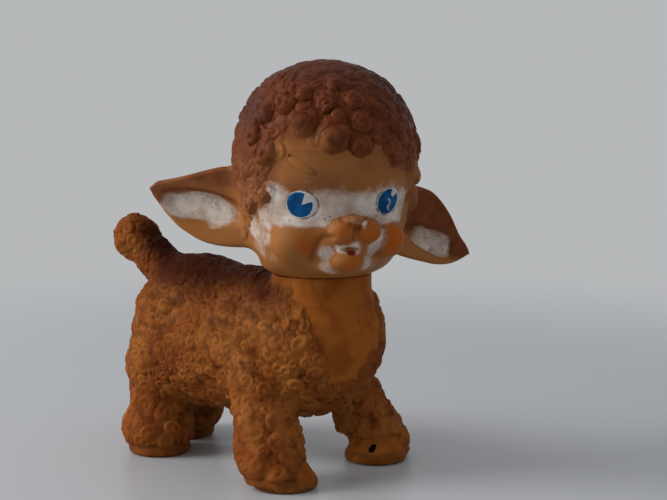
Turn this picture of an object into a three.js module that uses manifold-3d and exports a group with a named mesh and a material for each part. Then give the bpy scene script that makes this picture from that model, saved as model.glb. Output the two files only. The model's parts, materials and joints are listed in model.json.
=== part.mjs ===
// A soft rubber toy lamb: a hollow body moulding, a hollow head moulding that turns on the neck,
// and a reed whistle held in a hole in the belly.
// Millimetres, +Z up. The lamb faces -Y and +X is its left side. The origin is under the middle of its box.
import * as THREE from "three";
import { mergeVertices } from "three/addons/utils/BufferGeometryUtils.js";
import Module from "manifold-3d";

// Clearances
const SEAT_GAP = 0.3; // between a piece and what it rests on
const SWIVEL_CLEARANCE = 0.35; // radial, between the head's plug and the neck hole

// Body moulding
const BODY_WALL = 2.4;
const TORSO_LENGTH = 127;
const TORSO_WIDTH = 65;
const TORSO_HEIGHT = 66;
const TORSO_SQUARENESS = 2.7; // exponent of the torso's long outline, 2 being an ellipse
const BELLY_CLEARANCE = 20.5; // from the ground to the underside of the belly
const TORSO_REACH = 22; // from the neck axis forward to the end of the torso

const NECK_RADIUS = 21.3;
const NECK_RISE = 1.2; // from the top of the back to the top of the neck
const NECK_LENGTH = 8; // straight length under the head
const CHEST_RADIUS = 26; // the rounded bib under the neck
const CHEST_DROP = 28; // from the top of the neck down to the fullest part of the chest
const CHEST_DEPTH = 24; // from there down to the bottom of the chest
const NECK_LIP = 3; // thickness of the rubber lip round the neck hole
const NECK_HOLE_RADIUS = 12;

const HOOF_RADIUS = 13.8;
const HOOF_HEIGHT = 4.4;
const HOOF_EDGE = 1.6; // rounding of the hoof's rim
const FRONT_TOE = 4.5; // how far a front hoof stands forward of its leg
const FRONT_TOE_IN = 6.5; // and in towards the middle of the lamb
const REAR_TOE = 0.8; // the same for a rear hoof, both ways
const ANKLE_RADIUS = 12.4;
const CUFF_RADIUS = 15.4; // the woolly roll above the hoof
const CUFF_HEIGHT = 13;
const SHIN_RADIUS = 13.6;
const SHIN_HEIGHT = 25;
const THIGH_RADIUS = 15;
const THIGH_HEIGHT = 38;
const THIGH_DOME = 12; // rounded top of the leg over the thigh
const FRONT_TRACK = 74; // between the middles of the front legs at the ground
const REAR_TRACK = 44;
const WHEELBASE = 82.5; // from the front legs to the rear legs
const FRONT_LEG_FORWARD = 0; // from the neck axis to the front legs
const FRONT_SPLAY = 18; // how far a front leg leans in from the ground to its top
const REAR_SPLAY = 6;

const TAIL_ROOT_IN = 30; // from the end of the rump forward to the root of the tail
const TAIL_ROOT_DROP = 19; // from the top of the back down to the root of the tail
const TAIL_LENGTH = 55.5;
const TAIL_LIFT_DEG = 36; // slope of the tail above the level
const TAIL_ROOT_RADIUS = 13;
const TAIL_WAIST_RADIUS = 8.8;
const TAIL_WAIST_AT = 26; // from the root
const TAIL_TUFT_RADIUS = 12;
const TAIL_TUFT_AT = 43;

const TOE_HOLE_RADIUS = 1.9; // small hole in the toe of the left front foot
const TOE_HOLE_HEIGHT = 8.8;
const TOE_HOLE_AZIMUTH_DEG = -39; // from straight ahead, positive towards the lamb's left

// Head moulding, measured from the middle of the neck seam
const HEAD_TURN_DEG = -35; // the head looks to the lamb's right
const HEAD_WALL = 2.4;
const HEAD_SEAM_RADIUS = 22;
const HEAD_FORWARD = 6; // how far the middle of the head stands forward of the neck
const JAW_RADIUS = 28.5;
const JAW_LIFT = 6.5;
const FACE_RADIUS = 35;
const FACE_LIFT = 26;
const CRANIUM_RADIUS = 39.4;
const CRANIUM_LIFT = 53;
const HEAD_HEIGHT = 90.8;
const PLUG_WALL = 2.4;
const PLUG_FLANGE = 2.8; // how far the flange grips under the neck lip
const PLUG_FLANGE_HEIGHT = 2.6;

const CHEEK_RADIUS = 9;
const CHEEK_SPREAD = 38; // between the middles of the cheeks
const CHEEK_FORWARD = 30;
const CHEEK_LIFT = 17.3;
const SNOUT_WIDTH = 36; // the rise between the cheeks that carries the muzzle
const SNOUT_DEPTH = 30;
const SNOUT_HEIGHT = 25;
const SNOUT_FORWARD = 31;
const SNOUT_LIFT = 19.5;
const MUZZLE_RADIUS = 6.4;
const MUZZLE_SPREAD = 10.4;
const MUZZLE_FORWARD = 44;
const MUZZLE_LIFT = 22.4;
const NOSE_WIDTH = 13;
const NOSE_DEPTH = 12;
const NOSE_HEIGHT = 7.6;
const NOSE_FORWARD = 46.5;
const NOSE_LIFT = 27.5;
const CHIN_WIDTH = 20;
const CHIN_DEPTH = 18;
const CHIN_HEIGHT = 9.6;
const CHIN_FORWARD = 34.5;
const CHIN_LIFT = 9.2;

const EAR_LENGTH = 47;
const EAR_WIDTH = 33;
const EAR_BASE_WIDTH = 24;
const EAR_WIDEST_AT = 15; // from the root
const EAR_TIP_RADIUS = 3;
const EAR_THICKNESS = 7;
const EAR_ROUNDING = 2.4;
const EAR_DISH_LENGTH = 36;
const EAR_DISH_WIDTH = 20;
const EAR_DISH_DEPTH = 3.4;
const EAR_DISH_AT = 22; // from the root to the middle of the dish
const EAR_ROOT_SPREAD = 63; // between the roots of the ears, inside the head
const EAR_ROOT_FORWARD = 3;
const EAR_SWEEP_DEG = 30; // both ears sweep back
const RIGHT_EAR_ROOT_LIFT = 27;
const RIGHT_EAR_LIFT_DEG = 11; // the right ear stands up a little
const LEFT_EAR_ROOT_LIFT = 25.2;
const LEFT_EAR_LIFT_DEG = -25; // the left ear droops

// Whistle in the belly
const WHISTLE_BACK = 38; // from the neck axis back to the whistle
const PAD_RADIUS = 12.5; // flat rubber pad round the whistle hole
const PAD_THICKNESS = 3.2;
const PAD_PROUD = 0.6; // how far the pad stands below the belly
const CUP_WAIST_RADIUS = 7.2;
const CUP_FLANGE = 2.8; // how far the cup's outer flange stands past its waist
const CUP_RIM = 2; // the same for the rim inside the body
const CUP_FLANGE_THICKNESS = 1.2;
const CUP_RIM_THICKNESS = 2.2;
const CUP_WALL = 0.9;
const CUP_FLOOR = 1.2;
const CUP_LEDGE = 1.1; // width of the ledge under the reed plate
const CHAMBER_DEPTH = 1.6; // under the reed plate
const SOUND_HOLE_RADIUS = 2;
const PLATE_THICKNESS = 0.8;
const SLOT_WIDTH = 3;
const SLOT_LENGTH = 5.8;
const REED_WIDTH = 2.4;
const REED_THICKNESS = 0.25;
const REED_ROOT = 3; // length of reed behind the slot
const REED_SIDE_GAP = 0.3; // between the reed's tip and the end of the slot
const RIVET_RADIUS = 0.6;
const RIVET_HEAD_RADIUS = 1.1;
const RIVET_HEAD_HEIGHT = 0.45;
const RIVET_BEHIND_SLOT = 1.7;
const CAP_THICKNESS = 0.8;
const CAP_HOLE_RADIUS = 3;
const REED_ROOM = 1; // free height over the rivet, for the reed to swing in

// Facets
const FINE = 30;
const MEDIUM = 18;
const COARSE = 14;
const CURVE_STEPS = 3; // steps between two points of a curved outline

const RUBBER_BODY = { color: 0x8a5a2e, roughness: 0.62, metalness: 0 };
const RUBBER_HEAD = { color: 0x8f5a35, roughness: 0.55, metalness: 0 };
const TIN = { color: 0xa9abad, roughness: 0.4, metalness: 0.9 };
const BRASS = { color: 0xb08d45, roughness: 0.35, metalness: 0.9 };

const wasm = await Module();
wasm.setup();

const rad = THREE.MathUtils.degToRad;
const facets = (count, inset) => (inset > 0 ? COARSE : count); // the hollow needs fewer than the outside

// Places that follow from the driving dimensions
const torsoMiddle = new THREE.Vector3(0, TORSO_LENGTH / 2 - TORSO_REACH, BELLY_CLEARANCE + TORSO_HEIGHT / 2);
const backTop = BELLY_CLEARANCE + TORSO_HEIGHT;
const neckTop = backTop + NECK_RISE;
const rumpEnd = TORSO_LENGTH - TORSO_REACH;
const legTop = THIGH_HEIGHT + THIGH_DOME;
const whistleAxis = new THREE.Vector3(0, WHISTLE_BACK, 0);
const padUnder = BELLY_CLEARANCE - PAD_PROUD;
const padOver = padUnder + PAD_THICKNESS;

// The solid inside a closed geometry.
function solidOf(geometry) {
  const bare = geometry.index ? geometry.toNonIndexed() : geometry.clone();
  bare.deleteAttribute("normal");
  bare.deleteAttribute("uv");
  const merged = mergeVertices(bare, 1e-4);
  const corners = merged.index.array;
  const kept = [];
  for (let i = 0; i < corners.length; i += 3) {
    const [a, b, c] = corners.slice(i, i + 3);
    if (a !== b && b !== c && c !== a) kept.push(a, b, c);
  }
  const mesh = new wasm.Mesh({
    numProp: 3,
    vertProperties: merged.attributes.position.array,
    triVerts: new Uint32Array(kept),
  });
  return new wasm.Manifold(mesh);
}

// The geometry of a solid's surface, with flat facets.
function geometryOf(solid) {
  const mesh = solid.getMesh();
  const geometry = new THREE.BufferGeometry();
  geometry.setAttribute("position", new THREE.BufferAttribute(new Float32Array(mesh.vertProperties), 3));
  geometry.setIndex(new THREE.BufferAttribute(new Uint32Array(mesh.triVerts), 1));
  const faceted = geometry.toNonIndexed();
  faceted.computeVertexNormals();
  return faceted;
}

// All the solids joined into one.
function joined(geometries) {
  return geometries.map(solidOf).reduce((whole, next) => whole.add(next));
}

// A form turned about +Z. The profile holds [radius, height] pairs, from the lower end of the axis to the upper
// one, or round a closed ring.
function turned(profile, segments) {
  const points = profile.map(([radius, height]) => new THREE.Vector2(radius, height));
  return new THREE.LatheGeometry(points, segments).rotateX(Math.PI / 2);
}

// A smooth outline through [radius, height] pairs.
function smooth(pairs) {
  const curve = new THREE.SplineCurve(pairs.map(([radius, height]) => new THREE.Vector2(radius, height)));
  return curve.getPoints(CURVE_STEPS * (pairs.length - 1)).map((p) => [Math.max(p.x, 0), p.y]);
}

function ellipsoid(width, depth, height, middle, segments) {
  const ball = new THREE.SphereGeometry(1, segments, Math.round(segments * 0.62)).rotateX(Math.PI / 2);
  return ball.scale(width / 2, depth / 2, height / 2).translate(middle.x, middle.y, middle.z);
}

function cylinder(radius, low, high, segments) {
  return turned([[0, low], [radius, low], [radius, high], [0, high]], segments);
}

// Body moulding. Each form is made twice: as the outside, and taken in by the wall for the hollow.

// The long outline of the torso is a superellipse, turned about Y.
function torso(inset) {
  const steps = facets(MEDIUM, inset);
  const outline = [];
  for (let i = 0; i <= steps; i += 1) {
    const along = -Math.cos((Math.PI * i) / steps);
    const share = 1 - Math.abs(along) ** TORSO_SQUARENESS;
    outline.push(new THREE.Vector2(Math.max(share, 0) ** (1 / TORSO_SQUARENESS), along));
  }
  return new THREE.LatheGeometry(outline, facets(FINE, inset))
    .scale(TORSO_WIDTH / 2 - inset, TORSO_LENGTH / 2 - inset, TORSO_HEIGHT / 2 - inset)
    .translate(torsoMiddle.x, torsoMiddle.y, torsoMiddle.z);
}

// The neck swells into the rounded chest below it.
function neck(inset) {
  const top = inset > 0 ? neckTop - NECK_LIP : neckTop;
  const fullest = neckTop - CHEST_DROP;
  const side = smooth([
    [0, fullest - CHEST_DEPTH + inset],
    [(CHEST_RADIUS - inset) * Math.SQRT1_2, fullest - (CHEST_DEPTH - inset) * Math.SQRT1_2],
    [CHEST_RADIUS - inset, fullest],
    [NECK_RADIUS - inset, neckTop - NECK_LENGTH],
  ]);
  return turned([...side, [NECK_RADIUS - inset, top], [0, top]], facets(FINE, inset));
}

// A leg stands upright and is then leaned in, slice by slice, so that its sole stays level.
function leg(foot, splay, inset) {
  const sole = inset > 0 ? inset : HOOF_HEIGHT / 2;
  const side = smooth([
    [ANKLE_RADIUS - inset, sole],
    [CUFF_RADIUS - inset, CUFF_HEIGHT],
    [SHIN_RADIUS - inset, SHIN_HEIGHT],
    [THIGH_RADIUS - inset, THIGH_HEIGHT],
    [(THIGH_RADIUS - inset) * Math.SQRT1_2, THIGH_HEIGHT + (THIGH_DOME - inset) * Math.SQRT1_2],
    [0, legTop - inset],
  ]);
  const lean = (-Math.sign(foot.x) * splay) / legTop;
  return turned([[0, sole], ...side], facets(MEDIUM, inset))
    .applyMatrix4(new THREE.Matrix4().makeShear(0, 0, 0, 0, lean, 0))
    .translate(foot.x, foot.y, 0);
}

// The rounding of an outer corner at the given radius and height, as [radius, height] pairs.
function roundCorner(radius, height, size, fromDeg) {
  const steps = CURVE_STEPS;
  return Array.from({ length: steps + 1 }, (_, i) => {
    const angle = rad(fromDeg + (90 * i) / steps);
    return [radius + size * Math.cos(angle), height + size * Math.sin(angle)];
  });
}

function hoof({ foot, toe, toeIn }) {
  const core = HOOF_RADIUS - HOOF_EDGE;
  const profile = [
    [0, 0],
    ...roundCorner(core, HOOF_EDGE, HOOF_EDGE, -90),
    ...roundCorner(core, HOOF_HEIGHT - HOOF_EDGE, HOOF_EDGE, 0),
    [0, HOOF_HEIGHT],
  ];
  return turned(profile, MEDIUM).translate(foot.x - Math.sign(foot.x) * toeIn, foot.y - toe, 0);
}

function tail(inset) {
  const tip = TAIL_LENGTH - inset - TAIL_TUFT_AT;
  const side = smooth([
    [TAIL_ROOT_RADIUS - inset, 0],
    [TAIL_WAIST_RADIUS - inset, TAIL_WAIST_AT],
    [TAIL_TUFT_RADIUS - inset, TAIL_TUFT_AT],
    [(TAIL_TUFT_RADIUS - inset) * Math.SQRT1_2, TAIL_TUFT_AT + tip * Math.SQRT1_2],
    [0, TAIL_LENGTH - inset],
  ]);
  return turned([[0, 0], ...side], COARSE)
    .rotateX(-rad(90 - TAIL_LIFT_DEG))
    .translate(0, rumpEnd - TAIL_ROOT_IN, backTop - TAIL_ROOT_DROP);
}

const frontLegs = -FRONT_LEG_FORWARD;
const rearLegs = frontLegs + WHEELBASE;
const frontStance = { splay: FRONT_SPLAY, toe: FRONT_TOE, toeIn: FRONT_TOE_IN };
const rearStance = { splay: REAR_SPLAY, toe: REAR_TOE, toeIn: REAR_TOE };
const feet = [
  { foot: new THREE.Vector3(-FRONT_TRACK / 2, frontLegs, 0), ...frontStance },
  { foot: new THREE.Vector3(FRONT_TRACK / 2, frontLegs, 0), ...frontStance },
  { foot: new THREE.Vector3(-REAR_TRACK / 2, rearLegs, 0), ...rearStance },
  { foot: new THREE.Vector3(REAR_TRACK / 2, rearLegs, 0), ...rearStance },
];

// The toe hole runs level from inside the left front leg out through its wall.
function toeHole() {
  const leftFront = feet[1].foot;
  return cylinder(TOE_HOLE_RADIUS, 0, CUFF_RADIUS + FRONT_TOE, COARSE / 2)
    .rotateX(Math.PI / 2)
    .rotateZ(rad(TOE_HOLE_AZIMUTH_DEG))
    .translate(leftFront.x, leftFront.y, TOE_HOLE_HEIGHT);
}

function bodyShell() {
  const forms = (inset) => [
    torso(inset),
    neck(inset),
    tail(inset),
    ...feet.map(({ foot, splay }) => leg(foot, splay, inset)),
  ];
  const outside = joined([...forms(0), ...feet.map(hoof)]);
  const hollow = joined(forms(BODY_WALL));
  const pad = cylinder(PAD_RADIUS, padUnder, padOver, FINE).translate(0, WHISTLE_BACK, 0);
  const whistleHole = cylinder(CUP_WAIST_RADIUS + SEAT_GAP, 0, torsoMiddle.z, FINE).translate(0, WHISTLE_BACK, 0);
  const rimRoom = cylinder(CUP_WAIST_RADIUS + CUP_RIM + SEAT_GAP, padOver, torsoMiddle.z, FINE)
    .translate(0, WHISTLE_BACK, 0);
  const neckHole = cylinder(NECK_HOLE_RADIUS, neckTop - 2 * NECK_LIP, neckTop + NECK_LIP, FINE);
  return outside
    .subtract(hollow)
    .add(solidOf(pad))
    .subtract(solidOf(whistleHole))
    .subtract(solidOf(rimRoom))
    .subtract(solidOf(neckHole))
    .subtract(solidOf(toeHole()));
}

// Head moulding, in a frame whose origin is the middle of the neck seam and which faces -Y.

// A place given forward of the neck axis and above the seam.
const at = (side, forward, lift) => new THREE.Vector3(side, -forward, lift);

// The head is turned about an upright axis, and moved forward above its seam with the neck.
function skull(inset) {
  const crown = HEAD_HEIGHT - CRANIUM_LIFT - inset;
  const dome = [30, 60, 90].map((deg) => [
    (CRANIUM_RADIUS - inset) * Math.cos(rad(deg)),
    CRANIUM_LIFT + crown * Math.sin(rad(deg)),
  ]);
  const side = smooth([
    [HEAD_SEAM_RADIUS - inset, inset],
    [JAW_RADIUS - inset, JAW_LIFT],
    [FACE_RADIUS - inset, FACE_LIFT],
    [CRANIUM_RADIUS - inset, CRANIUM_LIFT],
    ...dome,
  ]);
  const form = turned([[0, inset], ...side], facets(FINE, inset));
  const places = form.attributes.position;
  for (let i = 0; i < places.count; i += 1) {
    const share = THREE.MathUtils.smoothstep(places.getZ(i), inset, JAW_LIFT);
    places.setY(i, places.getY(i) - HEAD_FORWARD * share);
  }
  return form;
}

// The small forms of the face, which are thick rubber.
function faceForms() {
  const pair = (size, spread, forward, lift) =>
    [-spread / 2, spread / 2].map((side) => ellipsoid(size, size, size, at(side, forward, lift), COARSE));
  return [
    ...pair(2 * CHEEK_RADIUS, CHEEK_SPREAD, CHEEK_FORWARD, CHEEK_LIFT),
    ellipsoid(SNOUT_WIDTH, SNOUT_DEPTH, SNOUT_HEIGHT, at(0, SNOUT_FORWARD, SNOUT_LIFT), MEDIUM),
    ...pair(2 * MUZZLE_RADIUS, MUZZLE_SPREAD, MUZZLE_FORWARD, MUZZLE_LIFT),
    ellipsoid(NOSE_WIDTH, NOSE_DEPTH, NOSE_HEIGHT, at(0, NOSE_FORWARD, NOSE_LIFT), COARSE),
    ellipsoid(CHIN_WIDTH, CHIN_DEPTH, CHIN_HEIGHT, at(0, CHIN_FORWARD, CHIN_LIFT), COARSE),
  ];
}

// A leaf-shaped outline along +X, with a rounded tip.
function earOutline() {
  const half = EAR_WIDTH / 2 - EAR_ROUNDING;
  const base = EAR_BASE_WIDTH / 2 - EAR_ROUNDING;
  const tip = EAR_LENGTH - EAR_TIP_RADIUS - EAR_ROUNDING;
  const shape = new THREE.Shape();
  shape.moveTo(0, -base);
  shape.quadraticCurveTo(EAR_WIDEST_AT / 2, -half, EAR_WIDEST_AT, -half);
  shape.quadraticCurveTo((EAR_WIDEST_AT + tip) / 2, -half, tip, -EAR_TIP_RADIUS);
  shape.absarc(tip, 0, EAR_TIP_RADIUS, -Math.PI / 2, Math.PI / 2, false);
  shape.quadraticCurveTo((EAR_WIDEST_AT + tip) / 2, half, EAR_WIDEST_AT, half);
  shape.quadraticCurveTo(EAR_WIDEST_AT / 2, half, 0, base);
  shape.closePath();
  return shape;
}

// A dished ear. It is made along +X with its dish facing +Z, and side is -1 for the right ear and 1 for the left.
function ear(side, rootLift, liftDeg) {
  const flat = new THREE.ExtrudeGeometry(earOutline(), {
    depth: EAR_THICKNESS - 2 * EAR_ROUNDING,
    bevelThickness: EAR_ROUNDING,
    bevelSize: EAR_ROUNDING,
    bevelSegments: 2,
    curveSegments: CURVE_STEPS,
  }).translate(0, 0, EAR_ROUNDING - EAR_THICKNESS / 2);
  const dish = ellipsoid(
    EAR_DISH_LENGTH, EAR_DISH_WIDTH, 2 * EAR_DISH_DEPTH,
    new THREE.Vector3(EAR_DISH_AT, 0, EAR_THICKNESS / 2), MEDIUM,
  );
  const along = new THREE.Vector3(side, 0, 0)
    .applyAxisAngle(new THREE.Vector3(0, 1, 0), -side * rad(liftDeg))
    .applyAxisAngle(new THREE.Vector3(0, 0, 1), side * rad(EAR_SWEEP_DEG));
  const level = new THREE.Vector3(0, 0, 1).cross(along).normalize();
  const facing = level.multiplyScalar(-side);
  const across = facing.clone().cross(along);
  const placed = new THREE.Matrix4()
    .makeBasis(along, across, facing)
    .setPosition((side * EAR_ROOT_SPREAD) / 2, -EAR_ROOT_FORWARD, rootLift);
  return solidOf(flat.applyMatrix4(placed)).subtract(solidOf(dish.applyMatrix4(placed)));
}

// The hollow plug that hangs from the head through the neck hole, with a flange under the neck lip.
function plugProfile() {
  const shank = NECK_HOLE_RADIUS - SWIVEL_CLEARANCE;
  const bore = shank - PLUG_WALL;
  const flange = NECK_HOLE_RADIUS + PLUG_FLANGE;
  const flangeTop = -(NECK_LIP + 2 * SEAT_GAP);
  const foot = flangeTop - PLUG_FLANGE_HEIGHT;
  const inside = HEAD_WALL;
  return [
    [bore, foot],
    [shank, foot],
    [flange, flangeTop],
    [shank, flangeTop],
    [shank, inside],
    [bore, inside],
    [bore, foot],
  ];
}

function headShell() {
  const outside = joined([skull(0), ...faceForms()])
    .add(ear(-1, RIGHT_EAR_ROOT_LIFT, RIGHT_EAR_LIFT_DEG))
    .add(ear(1, LEFT_EAR_ROOT_LIFT, LEFT_EAR_LIFT_DEG));
  const hollow = solidOf(skull(HEAD_WALL));
  const shank = NECK_HOLE_RADIUS - SWIVEL_CLEARANCE;
  const bore = cylinder(shank - PLUG_WALL, -HEAD_WALL, JAW_LIFT, FINE);
  return outside
    .subtract(hollow)
    .subtract(solidOf(bore))
    .add(solidOf(turned(plugProfile(), FINE)));
}

// Whistle, in the order in which it is put together. Heights are above the ground.
const cupUnder = padUnder - SEAT_GAP - CUP_FLANGE_THICKNESS;
const cupFloor = cupUnder + CUP_FLOOR;
const ledgeTop = cupFloor + CHAMBER_DEPTH;
const plateUnder = ledgeTop + SEAT_GAP;
const plateOver = plateUnder + PLATE_THICKNESS;
const reedUnder = plateOver + SEAT_GAP;
const reedOver = reedUnder + REED_THICKNESS;
const rivetUnder = plateUnder - SEAT_GAP - RIVET_HEAD_HEIGHT;
const rivetOver = reedOver + SEAT_GAP + RIVET_HEAD_HEIGHT;
const capUnder = rivetOver + REED_ROOM;
const cupBore = CUP_WAIST_RADIUS - CUP_WALL;
const rimUnder = padOver + SEAT_GAP;
const rimOver = Math.max(rimUnder + CUP_RIM_THICKNESS, capUnder + CAP_THICKNESS);
const slotFront = -SLOT_LENGTH / 2 + REED_ROOT / 2; // the end where the reed is fixed, from the whistle axis
const rivetPlace = slotFront - RIVET_BEHIND_SLOT;

function whistleCup() {
  return solidOf(turned([
    [SOUND_HOLE_RADIUS, cupUnder],
    [CUP_WAIST_RADIUS + CUP_FLANGE, cupUnder],
    [CUP_WAIST_RADIUS + CUP_FLANGE, padUnder - SEAT_GAP],
    [CUP_WAIST_RADIUS, padUnder - SEAT_GAP],
    [CUP_WAIST_RADIUS, rimUnder],
    [CUP_WAIST_RADIUS + CUP_RIM, rimUnder],
    [CUP_WAIST_RADIUS + CUP_RIM, rimOver],
    [cupBore, rimOver],
    [cupBore, ledgeTop],
    [cupBore - CUP_LEDGE, ledgeTop],
    [cupBore - CUP_LEDGE, cupFloor],
    [SOUND_HOLE_RADIUS, cupFloor],
    [SOUND_HOLE_RADIUS, cupUnder],
  ], FINE));
}

// A rectangle on the whistle's level, from one distance behind its axis to another.
function strip(width, from, to) {
  const half = width / 2;
  return [[-half, from], [half, from], [half, to], [-half, to]].map(([x, y]) => new THREE.Vector2(x, y));
}

function flatPiece(shape, low, thickness) {
  const options = { depth: thickness, bevelEnabled: false, curveSegments: FINE };
  return solidOf(new THREE.ExtrudeGeometry(shape, options).translate(0, 0, low));
}

function rivetHole() {
  return new THREE.Path().absarc(0, rivetPlace, RIVET_RADIUS + SEAT_GAP, 0, 2 * Math.PI, true);
}

function reedPlate() {
  const disc = new THREE.Shape().absarc(0, 0, cupBore - SEAT_GAP, 0, 2 * Math.PI, false);
  const slot = new THREE.Path(strip(SLOT_WIDTH, slotFront, slotFront + SLOT_LENGTH).reverse());
  disc.holes.push(slot, rivetHole());
  return flatPiece(disc, plateUnder, PLATE_THICKNESS);
}

function reed() {
  const outline = strip(REED_WIDTH, slotFront - REED_ROOT, slotFront + SLOT_LENGTH - REED_SIDE_GAP);
  const tongue = new THREE.Shape(outline);
  tongue.holes.push(rivetHole());
  return flatPiece(tongue, reedUnder, REED_THICKNESS);
}

function reedRivet() {
  return solidOf(turned([
    [0, rivetUnder],
    [RIVET_HEAD_RADIUS, rivetUnder],
    [RIVET_HEAD_RADIUS, rivetUnder + RIVET_HEAD_HEIGHT],
    [RIVET_RADIUS, rivetUnder + RIVET_HEAD_HEIGHT],
    [RIVET_RADIUS, rivetOver - RIVET_HEAD_HEIGHT],
    [RIVET_HEAD_RADIUS, rivetOver - RIVET_HEAD_HEIGHT],
    [RIVET_HEAD_RADIUS, rivetOver],
    [0, rivetOver],
  ], COARSE).translate(0, rivetPlace, 0));
}

function whistleCap() {
  const rim = cupBore - SEAT_GAP;
  return solidOf(turned([
    [CAP_HOLE_RADIUS, capUnder],
    [rim, capUnder],
    [rim, capUnder + CAP_THICKNESS],
    [CAP_HOLE_RADIUS, capUnder + CAP_THICKNESS],
    [CAP_HOLE_RADIUS, capUnder],
  ], FINE));
}

function piece(name, solid, look) {
  const mesh = new THREE.Mesh(geometryOf(solid), new THREE.MeshStandardMaterial(look));
  mesh.name = name;
  return mesh;
}

// Assembly
const head = new THREE.Group();
head.add(piece("head_shell", headShell(), RUBBER_HEAD));
head.position.z = neckTop + SEAT_GAP;
head.rotation.z = rad(HEAD_TURN_DEG);

const whistle = new THREE.Group();
whistle.add(
  piece("whistle_cup", whistleCup(), TIN),
  piece("reed_plate", reedPlate(), BRASS),
  piece("reed", reed(), BRASS),
  piece("reed_rivet", reedRivet(), BRASS),
  piece("whistle_cap", whistleCap(), TIN),
);
whistle.position.copy(whistleAxis);

const lamb = new THREE.Group();
lamb.add(piece("body_shell", bodyShell(), RUBBER_BODY), whistle, head);

// The finished figure is moved so that the middle of its box stands over the origin.
const box = new THREE.Box3().setFromObject(lamb, true);
const middle = box.getCenter(new THREE.Vector3());
lamb.position.set(-middle.x, -middle.y, 0);

const part = new THREE.Group();
part.add(lamb);

export default part;
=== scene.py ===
"""Dresses the toy lamb: a soft rubber body and head with moulded curls, a painted face and a whistle in the belly."""

import json
import logging
import math
from dataclasses import dataclass, field
from enum import Enum
from itertools import product
from typing import Protocol, Sequence

import bpy
import numpy as np
from mathutils import Matrix, Vector


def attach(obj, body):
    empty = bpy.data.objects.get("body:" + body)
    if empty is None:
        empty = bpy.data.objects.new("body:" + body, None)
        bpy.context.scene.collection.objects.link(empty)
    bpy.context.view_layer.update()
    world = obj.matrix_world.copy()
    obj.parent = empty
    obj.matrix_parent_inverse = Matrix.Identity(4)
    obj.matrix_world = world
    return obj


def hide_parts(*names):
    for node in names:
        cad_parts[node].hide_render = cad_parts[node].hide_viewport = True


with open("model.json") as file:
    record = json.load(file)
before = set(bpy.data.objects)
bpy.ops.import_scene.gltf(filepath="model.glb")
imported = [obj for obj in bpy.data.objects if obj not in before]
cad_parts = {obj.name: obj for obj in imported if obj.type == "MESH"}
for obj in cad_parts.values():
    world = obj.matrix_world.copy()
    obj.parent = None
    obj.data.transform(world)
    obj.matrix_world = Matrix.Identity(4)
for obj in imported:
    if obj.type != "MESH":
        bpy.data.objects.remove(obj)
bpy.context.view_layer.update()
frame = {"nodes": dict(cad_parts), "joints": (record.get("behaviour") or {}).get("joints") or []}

LOG = logging.getLogger("lamb")
MM = 0.001
IMAGE_WIDTH = 667
IMAGE_HEIGHT = 500
FAR = 1000.0
NEAR_ZERO = 1e-4
Triple = tuple[float, float, float]


# Named options


class Side(Enum):
    """Which side of the lamb, as the sign of its x."""

    RIGHT = -1
    LEFT = 1


class Winding(Enum):
    """Which way a curl winds, seen from outside."""

    CLOCKWISE = -1
    COUNTER = 1


class Stroke(Enum):
    """How a form meets the forms before it."""

    ADD = "add"
    CUT = "cut"


# Curves and blends


def smooth_step(low: float, high: float, value: np.ndarray) -> np.ndarray:
    """Eases from 0 to 1.

    Args:
        low: Value where the step starts.
        high: Value where it ends, below low for a falling step.
        value: Values to ease.

    Returns:
        The eased values.
    """
    t = np.clip((value - low) / (high - low), 0.0, 1.0)
    return t * t * (3.0 - 2.0 * t)


def soft_min(a: np.ndarray, b: np.ndarray, softness: float) -> np.ndarray:
    """Joins two distance fields with a fillet.

    Args:
        a: Distances to the first form.
        b: Distances to the second form.
        softness: Width of the fillet in millimetres.

    Returns:
        Distances to both together.
    """
    if softness <= 0.0:
        return np.minimum(a, b)
    overlap = np.maximum(softness - np.abs(a - b), 0.0) / softness
    return np.minimum(a, b) - overlap * overlap * softness * 0.25


def cloud(p: np.ndarray, size: float) -> np.ndarray:
    """Gives soft patches.

    Args:
        p: Points in millimetres.
        size: Rough size of a patch.

    Returns:
        Values from 0 to 1.
    """
    x, y, z = (p / size).T
    first = np.sin(1.3 * x + 1.1 * np.sin(0.9 * y + 0.4 * z))
    second = np.sin(1.2 * y + 0.7 * z + 1.2 * np.sin(1.1 * z - 0.6 * x))
    third = np.sin(1.1 * z + 0.8 * np.sin(1.3 * x + 0.5 * y))
    return np.clip(0.5 + 0.25 * (first + second + third), 0.0, 1.0)


def from_segment(p: np.ndarray, start: Sequence[float], end: Sequence[float]) -> tuple[np.ndarray, np.ndarray]:
    """Measures points from a straight line between two places.

    Args:
        p: Points.
        start: First end of the line.
        end: Last end of the line.

    Returns:
        The share of the line at the foot of each point, and the way from there to the point.
    """
    a = np.array(start)
    along = np.array(end) - a
    t = np.clip(((p - a) @ along) / (along @ along), 0.0, 1.0)
    return t, p - a - t[:, None] * along


def from_line(p: np.ndarray, line: Sequence[Sequence[float]]) -> np.ndarray:
    """Gives the distance of points from a broken line.

    Args:
        p: Points.
        line: Places that the line runs through.

    Returns:
        The distances.
    """
    ways = [from_segment(p, start, end)[1] for start, end in zip(line, line[1:])]
    return np.min([np.linalg.norm(way, axis=1) for way in ways], axis=0)


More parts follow.
